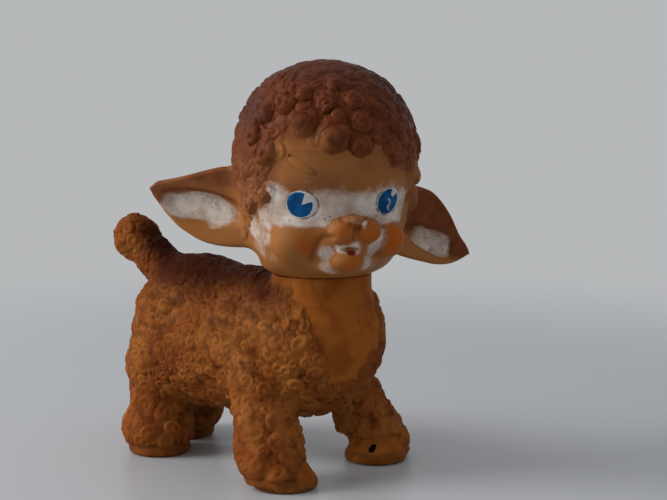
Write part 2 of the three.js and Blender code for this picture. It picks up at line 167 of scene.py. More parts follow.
@dataclass(frozen=True)
class Curve:
    """A smooth curve through knots, read from a fine table."""

    knots: tuple[float, ...]
    values: tuple[float, ...]
    samples: int = 400

    def table(self) -> tuple[np.ndarray, np.ndarray]:
        """Samples a cubic curve through the knots.

        Returns:
            Positions and values of the fine table.
        """
        x = np.array(self.knots)
        y = np.array(self.values)
        slope = np.gradient(y, x)
        fine = np.linspace(x[0], x[-1], self.samples)
        i = np.clip(np.searchsorted(x, fine, side="right") - 1, 0, len(x) - 2)
        span = x[i + 1] - x[i]
        t = (fine - x[i]) / span
        lift = (2 * t**3 - 3 * t**2 + 1) * y[i] + (-2 * t**3 + 3 * t**2) * y[i + 1]
        lean = (t**3 - 2 * t**2 + t) * span * slope[i] + (t**3 - t**2) * span * slope[i + 1]
        return fine, lift + lean

    def at(self, position: np.ndarray) -> np.ndarray:
        """Reads the curve at the given positions."""
        fine, values = self.table()
        return np.interp(position, fine, values)


# Forms, as distance fields in millimetres


class Form(Protocol):
    """Anything that gives its distance to points."""

    def distance(self, p: np.ndarray) -> np.ndarray:
        """Gives the distance of each point, negative inside.

        Args:
            p: Points in millimetres.

        Returns:
            The distances.
        """


@dataclass(frozen=True)
class Ball:
    """An ellipsoid."""

    centre: Triple
    radii: Triple

    def distance(self, p: np.ndarray) -> np.ndarray:
        """Gives the distance of each point, negative inside.

        Args:
            p: Points in millimetres.

        Returns:
            The distances.
        """
        q = p - np.array(self.centre) + NEAR_ZERO
        radii = np.array(self.radii)
        k = np.linalg.norm(q / radii, axis=1)
        g = np.linalg.norm(q / radii**2, axis=1)
        return k * (k - 1.0) / g


@dataclass(frozen=True)
class Limb:
    """A round bar between two points, thicker at one end."""

    start: Triple
    end: Triple
    start_radius: float
    end_radius: float
    widen: Triple = (1.0, 1.0, 1.0)

    def distance(self, p: np.ndarray) -> np.ndarray:
        """Gives the distance of each point, negative inside.

        Args:
            p: Points in millimetres.

        Returns:
            The distances.
        """
        t, off = from_segment(p, self.start, self.end)
        out = np.linalg.norm(off / np.array(self.widen), axis=1)
        return out - self.start_radius - t * (self.end_radius - self.start_radius)


@dataclass(frozen=True)
class Turned:
    """A turned form about an upright centre line that may lean or bend."""

    heights: tuple[float, ...]
    radii: tuple[float, ...]
    centre_x: tuple[float, ...]
    centre_y: tuple[float, ...]
    steepness: float = 0.93

    def distance(self, p: np.ndarray) -> np.ndarray:
        """Gives the distance of each point, negative inside.

        Args:
            p: Points in millimetres.

        Returns:
            The distances.
        """
        z = p[:, 2]
        x = p[:, 0] - Curve(self.heights, self.centre_x).at(z)
        y = p[:, 1] - Curve(self.heights, self.centre_y).at(z)
        side = (np.hypot(x, y) - Curve(self.heights, self.radii).at(z)) * self.steepness
        return np.maximum(side, np.maximum(self.heights[0] - z, z - self.heights[-1]))


@dataclass(frozen=True)
class Disc:
    """A flat round disc or upright post with rounded edges."""

    centre: tuple[float, float]
    under: float
    over: float
    radius: float
    edge: float

    def distance(self, p: np.ndarray) -> np.ndarray:
        """Gives the distance of each point, negative inside.

        Args:
            p: Points in millimetres.

        Returns:
            The distances.
        """
        x = p[:, 0] - self.centre[0]
        y = p[:, 1] - self.centre[1]
        out = np.hypot(x, y) - (self.radius - self.edge)
        up = np.abs(p[:, 2] - (self.under + self.over) / 2) - ((self.over - self.under) / 2 - self.edge)
        inside = np.minimum(np.maximum(out, up), 0.0)
        return inside + np.hypot(np.maximum(out, 0.0), np.maximum(up, 0.0)) - self.edge


@dataclass(frozen=True)
class EarLeaf:
    """One ear: a pointed leaf, rounder below, with a thick rolled rim round a shallow dish."""

    side: Side
    root: Triple
    lift_deg: float
    sweep_deg: float
    stations: tuple[float, ...]
    upper: tuple[float, ...]
    lower: tuple[float, ...]
    half_thickness: float = 2.5
    bow: float = 3.0
    dish_depth: float = 3.1
    dish_middle: tuple[float, float] = (20.5, -3.4)
    dish_reach: tuple[float, float] = (19.5, 6.8)
    lining_from: float = 4.0
    coat: float = 0.12
    steepness: float = 0.8

    def axes(self) -> np.ndarray:
        """Works out which way the ear points.

        Returns:
            The directions along, up across and out of the ear's face, as rows.
        """
        lift = math.radians(self.lift_deg)
        sweep = math.radians(self.sweep_deg)
        along = np.array(
            [
                self.side.value * math.cos(lift) * math.cos(sweep),
                math.cos(lift) * math.sin(sweep),
                math.sin(lift),
            ]
        )
        facing = np.array([self.side.value * along[1], -self.side.value * along[0], 0.0])
        facing /= np.linalg.norm(facing)
        return np.array([along, np.cross(along, facing) * -self.side.value, facing])

    def local(self, p: np.ndarray) -> np.ndarray:
        """Gives points along, up across and out of the ear's face."""
        return (p - np.array(self.root)) @ self.axes().T

    def half_width(self, along: np.ndarray, across: np.ndarray) -> np.ndarray:
        """Gives the leaf's width above or below its middle line.

        Args:
            along: Distances from the root.
            across: Distances up from the middle line.

        Returns:
            The widths.
        """
        above = Curve(self.stations, self.upper).at(along)
        below = Curve(self.stations, self.lower).at(along)
        past = np.maximum(along - self.stations[-1], 0.0)
        return np.where(across > 0.0, above, below) - past

    def dish(self, along: np.ndarray, across: np.ndarray) -> np.ndarray:
        """Measures how far out in the dish a point is.

        Args:
            along: Distances from the root.
            across: Distances up from the middle line.

        Returns:
            0 in the middle of the dish, 1 at its edge.
        """
        x = (along - self.dish_middle[0]) / self.dish_reach[0]
        y = (across - self.dish_middle[1]) / self.dish_reach[1]
        return np.hypot(x, y)

    def mid_surface(self, along: np.ndarray, across: np.ndarray) -> np.ndarray:
        """Gives how far the leaf's middle sheet stands out, bowed forward at its edges.

        Args:
            along: Distances from the root.
            across: Distances up from the middle line.

        Returns:
            The distances.
        """
        share = across / np.maximum(self.half_width(along, across), 3.0)
        tip = self.stations[-1]
        fade = smooth_step(-4.0, 12.0, along) * smooth_step(tip + 2.0, tip - 16.0, along)
        return self.bow * fade * (np.clip(share * share, 0.0, 1.4) - 0.5)

    def distance(self, p: np.ndarray) -> np.ndarray:
        """Gives the distance of each point, negative inside.

        Args:
            p: Points in millimetres.

        Returns:
            The distances.
        """
        q = self.local(p)
        along, across = q[:, 0], q[:, 1]
        hollow = self.dish_depth * smooth_step(1.1, 0.7, self.dish(along, across)) / 2
        thick = self.half_thickness - hollow
        off = np.abs(q[:, 2] - self.mid_surface(along, across) + hollow)
        past = np.maximum(np.abs(across) - (self.half_width(along, across) - self.half_thickness), 0.0)
        behind = np.maximum(self.stations[0] - along, 0.0)
        return (np.sqrt(off * off + past * past + behind * behind) - thick) * self.steepness


@dataclass
class Sculpture:
    """Forms joined and cut in order."""

    steps: list[tuple[Form, Stroke, float]] = field(default_factory=list)

    def add(self, form: Form, softness: float = 0.0) -> None:
        """Adds a form with a fillet of the given width."""
        self.steps.append((form, Stroke.ADD, softness))

    def cut(self, form: Form, softness: float = 0.0) -> None:
        """Cuts a form away with a rounded edge of the given width."""
        self.steps.append((form, Stroke.CUT, softness))

    def distance(self, p: np.ndarray) -> np.ndarray:
        """Gives the distance of each point to the whole, negative inside.

        Args:
            p: Points in millimetres.

        Returns:
            The distances.
        """
        total = np.full(len(p), FAR, p.dtype)
        for form, stroke, softness in self.steps:
            d = form.distance(p)
            if stroke is Stroke.ADD:
                total = soft_min(total, d, softness)
            else:
                total = -soft_min(-total, d, softness)
        return total

    def normals(self, p: np.ndarray, reach: float = 0.08) -> np.ndarray:
        """Gives the outward direction at each point.

        Args:
            p: Points near the surface.
            reach: How far apart the samples are taken.

        Returns:
            Unit vectors.
        """
        corners = np.array([[1, -1, -1], [-1, -1, 1], [-1, 1, -1], [1, 1, 1]], p.dtype)
        slope = sum(corner * self.distance(p + corner * reach)[:, None] for corner in corners)
        return slope / np.maximum(np.linalg.norm(slope, axis=1), 1e-9)[:, None]


# Meshes


@dataclass
class Skin:
    """A quad mesh wrapped round a sculpture, in millimetres."""

    WRAP_PARTS = 24
    RELAX_ROUNDS = 3
    RELAX_PULL = 0.6
    SETTLE_ROUNDS = 2
    SETTLE_LIMIT = 0.6

    points: np.ndarray
    quads: np.ndarray

    @classmethod
    def wrap(cls, shape: Sculpture, low: Triple, high: Triple, step: float) -> "Skin":
        """Wraps a sculpture in evenly sized quads.

        Args:
            shape: The sculpture.
            low: Lowest corner of its room.
            high: Highest corner of its room.
            step: Size of the quads.

        Returns:
            The mesh.
        """
        axes = [np.arange(a, b + step, step, dtype=np.float32) for a, b in zip(low, high)]
        sizes = [len(axis) for axis in axes]
        grid = np.stack(np.meshgrid(*axes, indexing="ij"), axis=-1).reshape(-1, 3)
        values = np.concatenate([shape.distance(part) for part in np.array_split(grid, cls.WRAP_PARTS)])
        values = values.reshape(sizes).astype(np.float32)
        inside = values < 0.0
        cells = tuple(size - 1 for size in sizes)
        total = np.zeros(cells, np.uint8)
        place = np.zeros(cells + (3,), np.float32)
        count = np.zeros(cells, np.float32)

        def corner(array: np.ndarray, offset: Sequence[int]) -> np.ndarray:
            """Gives the array's values at one corner of every cell."""
            return array[tuple(slice(o, o + n) for o, n in zip(offset, cells))]

        for offset in product((0, 1), repeat=3):
            total += corner(inside, offset)
        for axis in range(3):
            for other in product((0, 1), repeat=2):
                first = list(other)
                first.insert(axis, 0)
                last = list(other)
                last.insert(axis, 1)
                a, b = corner(values, first), corner(values, last)
                crossed = corner(inside, first) != corner(inside, last)
                t = np.where(crossed, a / np.where(crossed, a - b, 1.0), 0.0)
                for k in range(3):
                    place[..., k] += crossed * (t if k == axis else first[k])
                count += crossed
        active = (total > 0) & (total < 8)
        number = np.full(cells, -1, np.int64)
        number[active] = np.arange(int(active.sum()))
        base = np.stack(np.nonzero(active), axis=1)
        points = np.array(low) + step * (base + place[active] / count[active][:, None])
        quads = []
        for axis in range(3):
            u, v = (axis + 1) % 3, (axis + 2) % 3
            core = [slice(1, n) for n in cells]
            core[axis] = slice(0, cells[axis])
            ahead = list(core)
            ahead[axis] = slice(1, cells[axis] + 1)
            start, end = inside[tuple(core)], inside[tuple(ahead)]
            edges = np.stack(np.nonzero(start != end), axis=1)
            edges[:, u] += 1
            edges[:, v] += 1
            leaving = inside[tuple(edges.T)]
            ring = []
            for du, dv in ((-1, -1), (0, -1), (0, 0), (-1, 0)):
                cell = edges.copy()
                cell[:, u] += du
                cell[:, v] += dv
                ring.append(number[tuple(cell.T)])
            ring = np.stack(ring, axis=1)
            quads.append(np.where(leaving[:, None], ring, ring[:, ::-1]))
        return cls(points.astype(np.float64), np.concatenate(quads))

    @classmethod
    def sculpted(cls, shape: Sculpture, low: Triple, high: Triple, step: float) -> "Skin":
        """Wraps a sculpture, evens out the quads and splits each into four.

        Args:
            shape: The sculpture.
            low: Lowest corner of its room.
            high: Highest corner of its room.
            step: Size of the quads before the split.

        Returns:
            The fine mesh, on the sculpture.
        """
        skin = cls.wrap(shape, low, high, step)
        skin.relax(shape, cls.RELAX_ROUNDS)
        skin.settle(shape, cls.SETTLE_ROUNDS)
        skin.refine()
        skin.settle(shape, cls.SETTLE_ROUNDS)
        return skin

    def edges(self) -> tuple[np.ndarray, np.ndarray]:
        """Lists the edges.

        Returns:
            The point pairs, and for each quad the numbers of its four edges.
        """
        pairs = np.stack([self.quads, np.roll(self.quads, -1, axis=1)], axis=2).reshape(-1, 2)
        keys = np.sort(pairs, axis=1)
        unique, back = np.unique(keys[:, 0] * len(self.points) + keys[:, 1], return_inverse=True)
        found = np.stack([unique // len(self.points), unique % len(self.points)], axis=1)
        return found, back.reshape(-1, 4)

    def settle(self, shape: Sculpture, rounds: int) -> None:
        """Brings the points onto the sculpture.

        Args:
            shape: The sculpture.
            rounds: How often the points are moved.
        """
        for _ in range(rounds):
            away = self.normals_on(shape)
            off = np.clip(shape.distance(self.points), -self.SETTLE_LIMIT, self.SETTLE_LIMIT)
            self.points -= away * off[:, None]

    def normals_on(self, shape: Sculpture) -> np.ndarray:
        """Gives the sculpture's outward direction at every point."""
        return shape.normals(self.points)

    def relax(self, shape: Sculpture, rounds: int) -> None:
        """Evens out the quads along the surface.

        Args:
            shape: The sculpture.
            rounds: How often the points are eased.
        """
        pairs, _ = self.edges()
        degree = np.bincount(pairs.ravel(), minlength=len(self.points))[:, None]
        for _ in range(rounds):
            total = np.zeros_like(self.points)
            for k in range(3):
                total[:, k] = np.bincount(pairs[:, 0], self.points[pairs[:, 1], k], len(self.points))
                total[:, k] += np.bincount(pairs[:, 1], self.points[pairs[:, 0], k], len(self.points))
            pull = total / degree - self.points
            away = self.normals_on(shape)
            pull -= away * np.sum(pull * away, axis=1)[:, None]
            self.points += self.RELAX_PULL * pull

    def refine(self) -> None:
        """Splits every quad into four."""
        pairs, around = self.edges()
        middles = self.points[pairs].mean(axis=1)
        centres = self.points[self.quads].mean(axis=1)
        first_middle = len(self.points)
        first_centre = first_middle + len(pairs)
        centre = first_centre + np.arange(len(self.quads))
        parts = []
        for k in range(4):
            ring = [self.quads[:, k], first_middle + around[:, k], centre, first_middle + around[:, k - 1]]
            parts.append(np.stack(ring, axis=1))
        self.points = np.concatenate([self.points, middles, centres])
        self.quads = np.concatenate(parts)

    def to_object(self, name: str, place: Matrix, marks: dict[str, np.ndarray]) -> bpy.types.Object:
        """Makes the Blender object.

        Args:
            name: Name of the piece.
            place: From the skin's millimetres to the row frame's metres.
            marks: Values per point that the finish reads.

        Returns:
            The object, in place.
        """
        mesh = bpy.data.meshes.new(name)
        turn = np.array(place)
        points = self.points @ turn[:3, :3].T + turn[:3, 3]
        mesh.vertices.add(len(points))
        mesh.vertices.foreach_set("co", points.astype(np.float32).ravel())
        mesh.loops.add(self.quads.size)
        mesh.loops.foreach_set("vertex_index", self.quads.astype(np.int32).ravel())
        mesh.polygons.add(len(self.quads))
        mesh.polygons.foreach_set("loop_start", np.arange(0, self.quads.size, 4, dtype=np.int32))
        mesh.update(calc_edges=True)
        mesh.validate()
        mesh.polygons.foreach_set("use_smooth", np.ones(len(mesh.polygons), bool))
        for mark, values in marks.items():
            layer = mesh.attributes.new(mark, "FLOAT", "POINT")
            layer.data.foreach_set("value", values.astype(np.float32))
        piece = bpy.data.objects.new(name, mesh)
        bpy.context.scene.collection.objects.link(piece)
        return piece


class Neighbours:
    """Finds the points near a place."""

    def __init__(self, points: np.ndarray, cell: float = 4.0) -> None:
        """Sorts the points into cells.

        Args:
            points: The points.
            cell: Size of a cell in millimetres.
        """
        self.points = points
        self.cell = cell
        keys = np.floor(points / cell).astype(np.int64)
        self.low = keys.min(axis=0)
        self.size = keys.max(axis=0) - self.low + 1
        flat = self._flat(keys)
        self.order = np.argsort(flat, kind="stable")
        self.starts = np.searchsorted(flat[self.order], np.arange(int(np.prod(self.size)) + 1))

    def _flat(self, keys: np.ndarray) -> np.ndarray:
        """Gives one number per cell."""
        k = keys - self.low
        return (k[..., 0] * self.size[1] + k[..., 1]) * self.size[2] + k[..., 2]

    def near(self, place: np.ndarray, radius: float) -> np.ndarray:
        """Finds the points within a radius of a place.

        Args:
            place: The place.
            radius: The radius.

        Returns:
            The numbers of the points.
        """
        low = np.maximum(np.floor((place - radius) / self.cell).astype(int), self.low)
        high = np.minimum(np.floor((place + radius) / self.cell).astype(int), self.low + self.size - 1)
        runs = []
        for i, j in product(range(low[0], high[0] + 1), range(low[1], high[1] + 1)):
            first = self._flat(np.array([i, j, low[2]]))
            runs.append(self.order[self.starts[first] : self.starts[first + high[2] - low[2] + 1]])
        found = np.concatenate(runs) if runs else np.zeros(0, int)
        off = self.points[found] - place
        return found[np.einsum("ij,ij->i", off, off) < radius * radius]


# Wool


@dataclass(frozen=True)
class CurlStyle:
    """How the curls of one area look, in millimetres."""

    radius: float
    vary: float
    relief: float
    dome: float
    turns: float
    spacing: float
    wear: float = 0.0


@dataclass
class Curl:
    """One moulded curl on a surface."""

    centre: np.ndarray
    normal: np.ndarray
    radius: float
    relief: float
    dome: float
    turns: float
    winding: Winding
    spin: float
    stretch: float = 1.0

    def height(self, points: np.ndarray) -> np.ndarray:
        """Gives how far the curl stands out.

        Args:
            points: Points near the curl.

        Returns:
            Heights, 0 outside the curl.
        """
        helper = np.array([0.0, 0.0, 1.0]) if abs(self.normal[2]) < 0.8 else np.array([1.0, 0.0, 0.0])
        across = np.cross(helper, self.normal)
        across /= np.linalg.norm(across)
        up = np.cross(self.normal, across)
        off = points - self.centre
        angle = 2 * math.pi * self.spin
        u = (off @ across * math.cos(angle) + off @ up * math.sin(angle)) * self.stretch
        v = (off @ up * math.cos(angle) - off @ across * math.sin(angle)) / self.stretch
        out = np.hypot(u, v) / self.radius
        swing = np.arctan2(v, u) / (2 * math.pi)
        wave = 0.5 + 0.5 * np.cos(2 * math.pi * (self.turns * out - self.winding.value * swing + self.spin))
        ridge = smooth_step(0.0, 0.95, wave) * smooth_step(1.0, 0.75, out)
        dome = np.sqrt(np.clip(1.0 - out * out, 0.0, 1.0))
        return self.relief * (self.dome * dome + (1.0 - self.dome) * ridge)


class Fleece:
    """Grows curls over a skin."""

    WEAR_PATCH = 9.0
    RELIEF_RANGE = (0.8, 1.15)
    TURNS_RANGE = (0.7, 1.2)
    STRETCH_RANGE = (0.82, 1.2)
    TAKEN_HEIGHT = 0.05
    SAME_FACING = 0.25

    def __init__(self, points: np.ndarray, normals: np.ndarray, seed: int) -> None:
        """Starts with no curls.

        Args:
            points: Points of the skin.
            normals: Outward directions at the points.
            seed: Seed of the scatter.
        """
        self.points = points
        self.normals = normals
        self.near = Neighbours(points)
        self.random = np.random.default_rng(seed)
        self.height = np.zeros(len(points))
        self.taken = np.zeros(len(points), bool)

    def press(self, curl: Curl, clear: float) -> None:
        """Adds one curl.

        Args:
            curl: The curl.
            clear: Radius that it keeps free of scattered curls.
        """
        found = self.near.near(curl.centre, curl.radius * max(curl.stretch, 1.0 / curl.stretch) * 1.05)
        found = found[self.normals[found] @ curl.normal > self.SAME_FACING]
        self.height[found] = np.maximum(self.height[found], curl.height(self.points[found]))
        self.taken[self.near.near(curl.centre, clear)] = True

    def scatter(self, allowed: np.ndarray, style: CurlStyle) -> int:
        """Scatters curls over the allowed points.

        Args:
            allowed: Which points a curl may sit on.
            style: How the curls look.

        Returns:
            How many curls were added.
        """
        count = 0
        places = np.nonzero(allowed)[0]
        for place in self.random.permutation(places):
            if self.taken[place]:
                continue
            size = style.radius * (1.0 + style.vary * self.random.uniform(-1.0, 1.0))
            kept = 1.0 - style.wear * cloud(self.points[place : place + 1], self.WEAR_PATCH).item()
            curl = Curl(
                centre=self.points[place],
                normal=self.normals[place],
                radius=size,
                relief=style.relief * kept * self.random.uniform(*self.RELIEF_RANGE),
                dome=style.dome,
                turns=style.turns * self.random.uniform(*self.TURNS_RANGE),
                winding=Winding.CLOCKWISE if self.random.random() < 0.5 else Winding.COUNTER,
                spin=self.random.random(),
                stretch=self.random.uniform(*self.STRETCH_RANGE),
            )
            self.press(curl, size * style.spacing)
            count += 1
        self.taken = self.height > self.TAKEN_HEIGHT
        return count


# Materials


def tint(red: int, green: int, blue: int) -> tuple[float, float, float, float]:
    """Turns a colour from 0 to 255 into the shader's own scale.

    Args:
        red: Its red.
        green: Its green.
        blue: Its blue.

    Returns:
        The colour, with full cover.
    """
    levels = [level / 255.0 for level in (red, green, blue)]
    linear = [s / 12.92 if s <= 0.04045 else ((s + 0.055) / 1.055) ** 2.4 for s in levels]
    return (linear[0], linear[1], linear[2], 1.0)


Colour = tuple[float, float, float, float]
Input = bpy.types.NodeSocket | float | Colour


class Shades:
    """Lays out the nodes of one material."""

    RUBBER_DEPTH = 0.06
    RUBBER_RADIUS = (0.004, 0.0016, 0.0007)
    RUBBER_SCALE = 0.5

    def __init__(self, name: str) -> None:
        """Starts a material with a plain shader.

        Args:
            name: Name of the material.
        """
        self.material = bpy.data.materials.new(name)
        self.material.use_nodes = True
        self.tree = self.material.node_tree
        self.shader = self.tree.nodes["Principled BSDF"]

    def feed(self, socket: bpy.types.NodeSocket, value: Input) -> None:
        """Links a socket, or sets it to a constant.

        Args:
            socket: The socket.
            value: Another socket or the constant.
        """
        if isinstance(value, bpy.types.NodeSocket):
            self.tree.links.new(value, socket)
        else:
            socket.default_value = value

    def set(self, name: str, value: Input) -> None:
        """Feeds one input of the shader."""
        self.feed(self.shader.inputs[name], value)

    def mark(self, name: str) -> bpy.types.NodeSocket:
        """Reads a value that the mesh carries per point.

        Args:
            name: Name of the value.

        Returns:
            The value.
        """
        node = self.tree.nodes.new("ShaderNodeAttribute")
        node.attribute_name = name
        return node.outputs["Fac"]

    def place(self, stretch: Triple = (1.0, 1.0, 1.0)) -> bpy.types.NodeSocket:
        """Gives the place on the object.

        Args:
            stretch: Scale along each axis.

        Returns:
            The place.
        """
        node = self.tree.nodes.new("ShaderNodeTexCoord")
        if stretch == (1.0, 1.0, 1.0):
            return node.outputs["Object"]
        mapping = self.tree.nodes.new("ShaderNodeMapping")
        mapping.inputs["Scale"].default_value = stretch
        self.tree.links.new(node.outputs["Object"], mapping.inputs["Vector"])
        return mapping.outputs["Vector"]

    def noise(
        self, size_mm: float, detail: float = 3.0, distortion: float = 0.0, stretch: Triple = (1.0, 1.0, 1.0)
    ) -> bpy.types.NodeSocket:
        """Makes cloudy noise.

        Args:
            size_mm: Size of its largest spots.
            detail: How many finer layers it has.
            distortion: How much it swirls.
            stretch: Scale along each axis.

        Returns:
            The noise, about 0.3 to 0.7.
        """
        node = self.tree.nodes.new("ShaderNodeTexNoise")
        node.inputs["Scale"].default_value = 1.0 / (size_mm * MM)
        node.inputs["Detail"].default_value = detail
        node.inputs["Distortion"].default_value = distortion
        self.tree.links.new(self.place(stretch), node.inputs["Vector"])
        return node.outputs["Fac"]

    def maths(self, kind: str, first: Input, second: Input = 0.0, clamp: bool = False) -> bpy.types.NodeSocket:
        """Works out one sum.

        Args:
            kind: Blender's name for the operation.
            first: First value.
            second: Second value.
            clamp: Whether the result stays between 0 and 1.

        Returns:
            The result.
        """
        node = self.tree.nodes.new("ShaderNodeMath")
        node.operation = kind
        node.use_clamp = clamp
        self.feed(node.inputs[0], first)
        self.feed(node.inputs[1], second)
        return node.outputs[0]

    def times(self, first: Input, *others: Input) -> bpy.types.NodeSocket:
        """Multiplies values.

        Args:
            first: First value.
            others: The rest.

        Returns:
            The product.
        """
        for other in others:
            first = self.maths("MULTIPLY", first, other)
        return first

    def ragged(self, value: Input, noise: Input, amount: float) -> bpy.types.NodeSocket:
        """Frays the edges of a value with noise.

        Args:
            value: The value.
            noise: The noise, about 0.5 on average.
            amount: How much it frays.

        Returns:
            The frayed value.
        """
        return self.maths("ADD", value, self.times(self.maths("SUBTRACT", noise, 0.5), amount))

    def hairlines(self, noise: Input, widest: float, finest: float) -> bpy.types.NodeSocket:
        """Draws fine lines where noise passes its middle.

        Args:
            noise: The noise.
            widest: Where a line starts to show.
            finest: Where it shows in full.

        Returns:
            1 on the lines.
        """
        return self.ease(self.maths("ABSOLUTE", self.maths("SUBTRACT", noise, 0.5)), widest, finest)

    def soft_rubber(self, smoothest: float, roughest: float, specular: float) -> None:
        """Sets the sheen and depth of old soft rubber.

        Args:
            smoothest: Roughness where it is rubbed smooth.
            roughest: Roughness where it is dull.
            specular: Level of its gloss.
        """
        self.set("Roughness", self.ease(self.noise(5.0, 4.0), 0.3, 0.7, smoothest, roughest))
        self.set("Specular IOR Level", specular)
        self.set("Subsurface Weight", self.RUBBER_DEPTH)
        self.set("Subsurface Radius", self.RUBBER_RADIUS)
        self.set("Subsurface Scale", self.RUBBER_SCALE)

    def ease(
        self, value: Input, low: float, high: float, start: float = 0.0, end: float = 1.0
    ) -> bpy.types.NodeSocket:
        """Eases a value from one range to another.

        Args:
            value: The value.
            low: Where the step starts.
            high: Where it ends.
            start: Result at the start.
            end: Result at the end.

        Returns:
            The eased value.
        """
        node = self.tree.nodes.new("ShaderNodeMapRange")
        node.interpolation_type = "SMOOTHSTEP"
        self.feed(node.inputs["Value"], value)
        for name, number in (("From Min", low), ("From Max", high), ("To Min", start), ("To Max", end)):
            node.inputs[name].default_value = number
        return node.outputs["Result"]

    def blend(self, share: Input, first: Input, second: Input) -> bpy.types.NodeSocket:
        """Blends two colours.

        Args:
            share: How much of the second shows.
            first: First colour.
            second: Second colour.

        Returns:
            The blended colour.
        """
        node = self.tree.nodes.new("ShaderNodeMix")
        node.data_type = "RGBA"
        self.feed(node.inputs["Factor"], share)
        for name, colour in (("A", first), ("B", second)):
            self.feed(next(s for s in node.inputs if s.name == name and s.type == "RGBA"), colour)
        return next(s for s in node.outputs if s.type == "RGBA")

    def bump(self, height: bpy.types.NodeSocket, depth_mm: float, strength: float) -> None:
        """Raises fine grain on the surface.

        Args:
            height: The grain.
            depth_mm: Its depth.
            strength: How strongly it shows.
        """
        node = self.tree.nodes.new("ShaderNodeBump")
        node.inputs["Distance"].default_value = depth_mm * MM
        node.inputs["Strength"].default_value = strength
        self.tree.links.new(height, node.inputs["Height"])
        self.tree.links.new(node.outputs["Normal"], self.shader.inputs["Normal"])


@dataclass(frozen=True)
class BodyRubber:
    """Old tan rubber: brown over the top that is partly sprayed on from above and partly painted shade, orange on the
    bib, grime and painted shade in the grooves, a painted highlight with some rubbing wear on the curl tops, and
    painted shade in the holes.
    """

    tan: Colour = tint(130, 70, 29)
    ochre: Colour = tint(150, 90, 39)
    russet: Colour = tint(110, 52, 19)
    # The brown over the top: partly sprayed paint, partly painted shade.
    brown: Colour = tint(54, 19, 6)
    bib: Colour = tint(158, 92, 35)
    bib_deep: Colour = tint(136, 72, 25)
    # Grime and painted shade in the grooves between the curls.
    groove: Colour = tint(64, 27, 9)
    # Lighter curl tops: a painted highlight with some rubbing wear.
    rubbed: Colour = tint(154, 100, 54)
    sole: Colour = tint(104, 60, 25)
    dirt: Colour = tint(40, 22, 12)
    # Near black inside the neck well, the whistle hole and the toe hole: painted shade.
    pit: Colour = tint(12, 6, 4)

    def material(self) -> bpy.types.Material:
        """Builds the material.

        Returns:
            The material.
        """
        s = Shades("body_rubber")
        wool, shade, smooth = s.mark("wool"), s.mark("shade"), s.mark("smooth")
        mottle, patch, stain = s.noise(24.0, 4.0), s.noise(7.0, 4.0, 0.6), s.noise(11.0, 5.0, 0.4)
        fleece = s.blend(s.ease(mottle, 0.4, 0.62), self.tan, self.ochre)
        fleece = s.blend(s.times(s.ease(stain, 0.48, 0.66), 0.7), fleece, self.russet)
        plain = s.blend(s.ease(stain, 0.36, 0.66), self.bib, self.bib_deep)
        skin = s.blend(smooth, fleece, plain)
        skin = s.blend(s.times(s.mark("hoof"), s.ease(patch, 0.36, 0.6, 0.35, 0.9)), skin, self.sole)
        # Brown over the top: partly sprayed paint, partly painted shade on the upward faces and the back.
        skin = s.blend(s.ease(s.maths("ADD", shade, s.times(patch, 0.2)), 0.1, 1.12), skin, self.brown)
        woolly = s.maths("SUBTRACT", 1.0, smooth, clamp=True)
        # Darker grooves: grime with painted shade.
        deep = s.times(s.ease(wool, 0.4, 0.06), woolly)
        skin = s.blend(s.times(deep, s.ease(patch, 0.34, 0.62, 0.3, 0.7)), skin, self.groove)
        # Lighter curl tops: a painted highlight with some rubbing wear, less under the brown.
        worn = s.times(s.ease(wool, 0.66, 1.1), s.ease(patch, 0.46, 0.66))
        worn = s.times(worn, s.ease(shade, 0.8, 0.1))
        skin = s.blend(s.times(worn, woolly, 0.4), skin, self.rubbed)
        specks = s.times(s.ease(s.noise(2.2, 2.0), 0.7, 0.75), 0.6)
        skin = s.blend(specks, skin, self.dirt)
        # Near black in the holes: painted shade.
        skin = s.blend(s.mark("pit"), skin, self.pit)
        s.set("Base Color", skin)
        s.soft_rubber(smoothest=0.46, roughest=0.68, specular=0.03)
        s.bump(s.noise(0.7, 3.0), 0.12, 0.35)
        return s.material


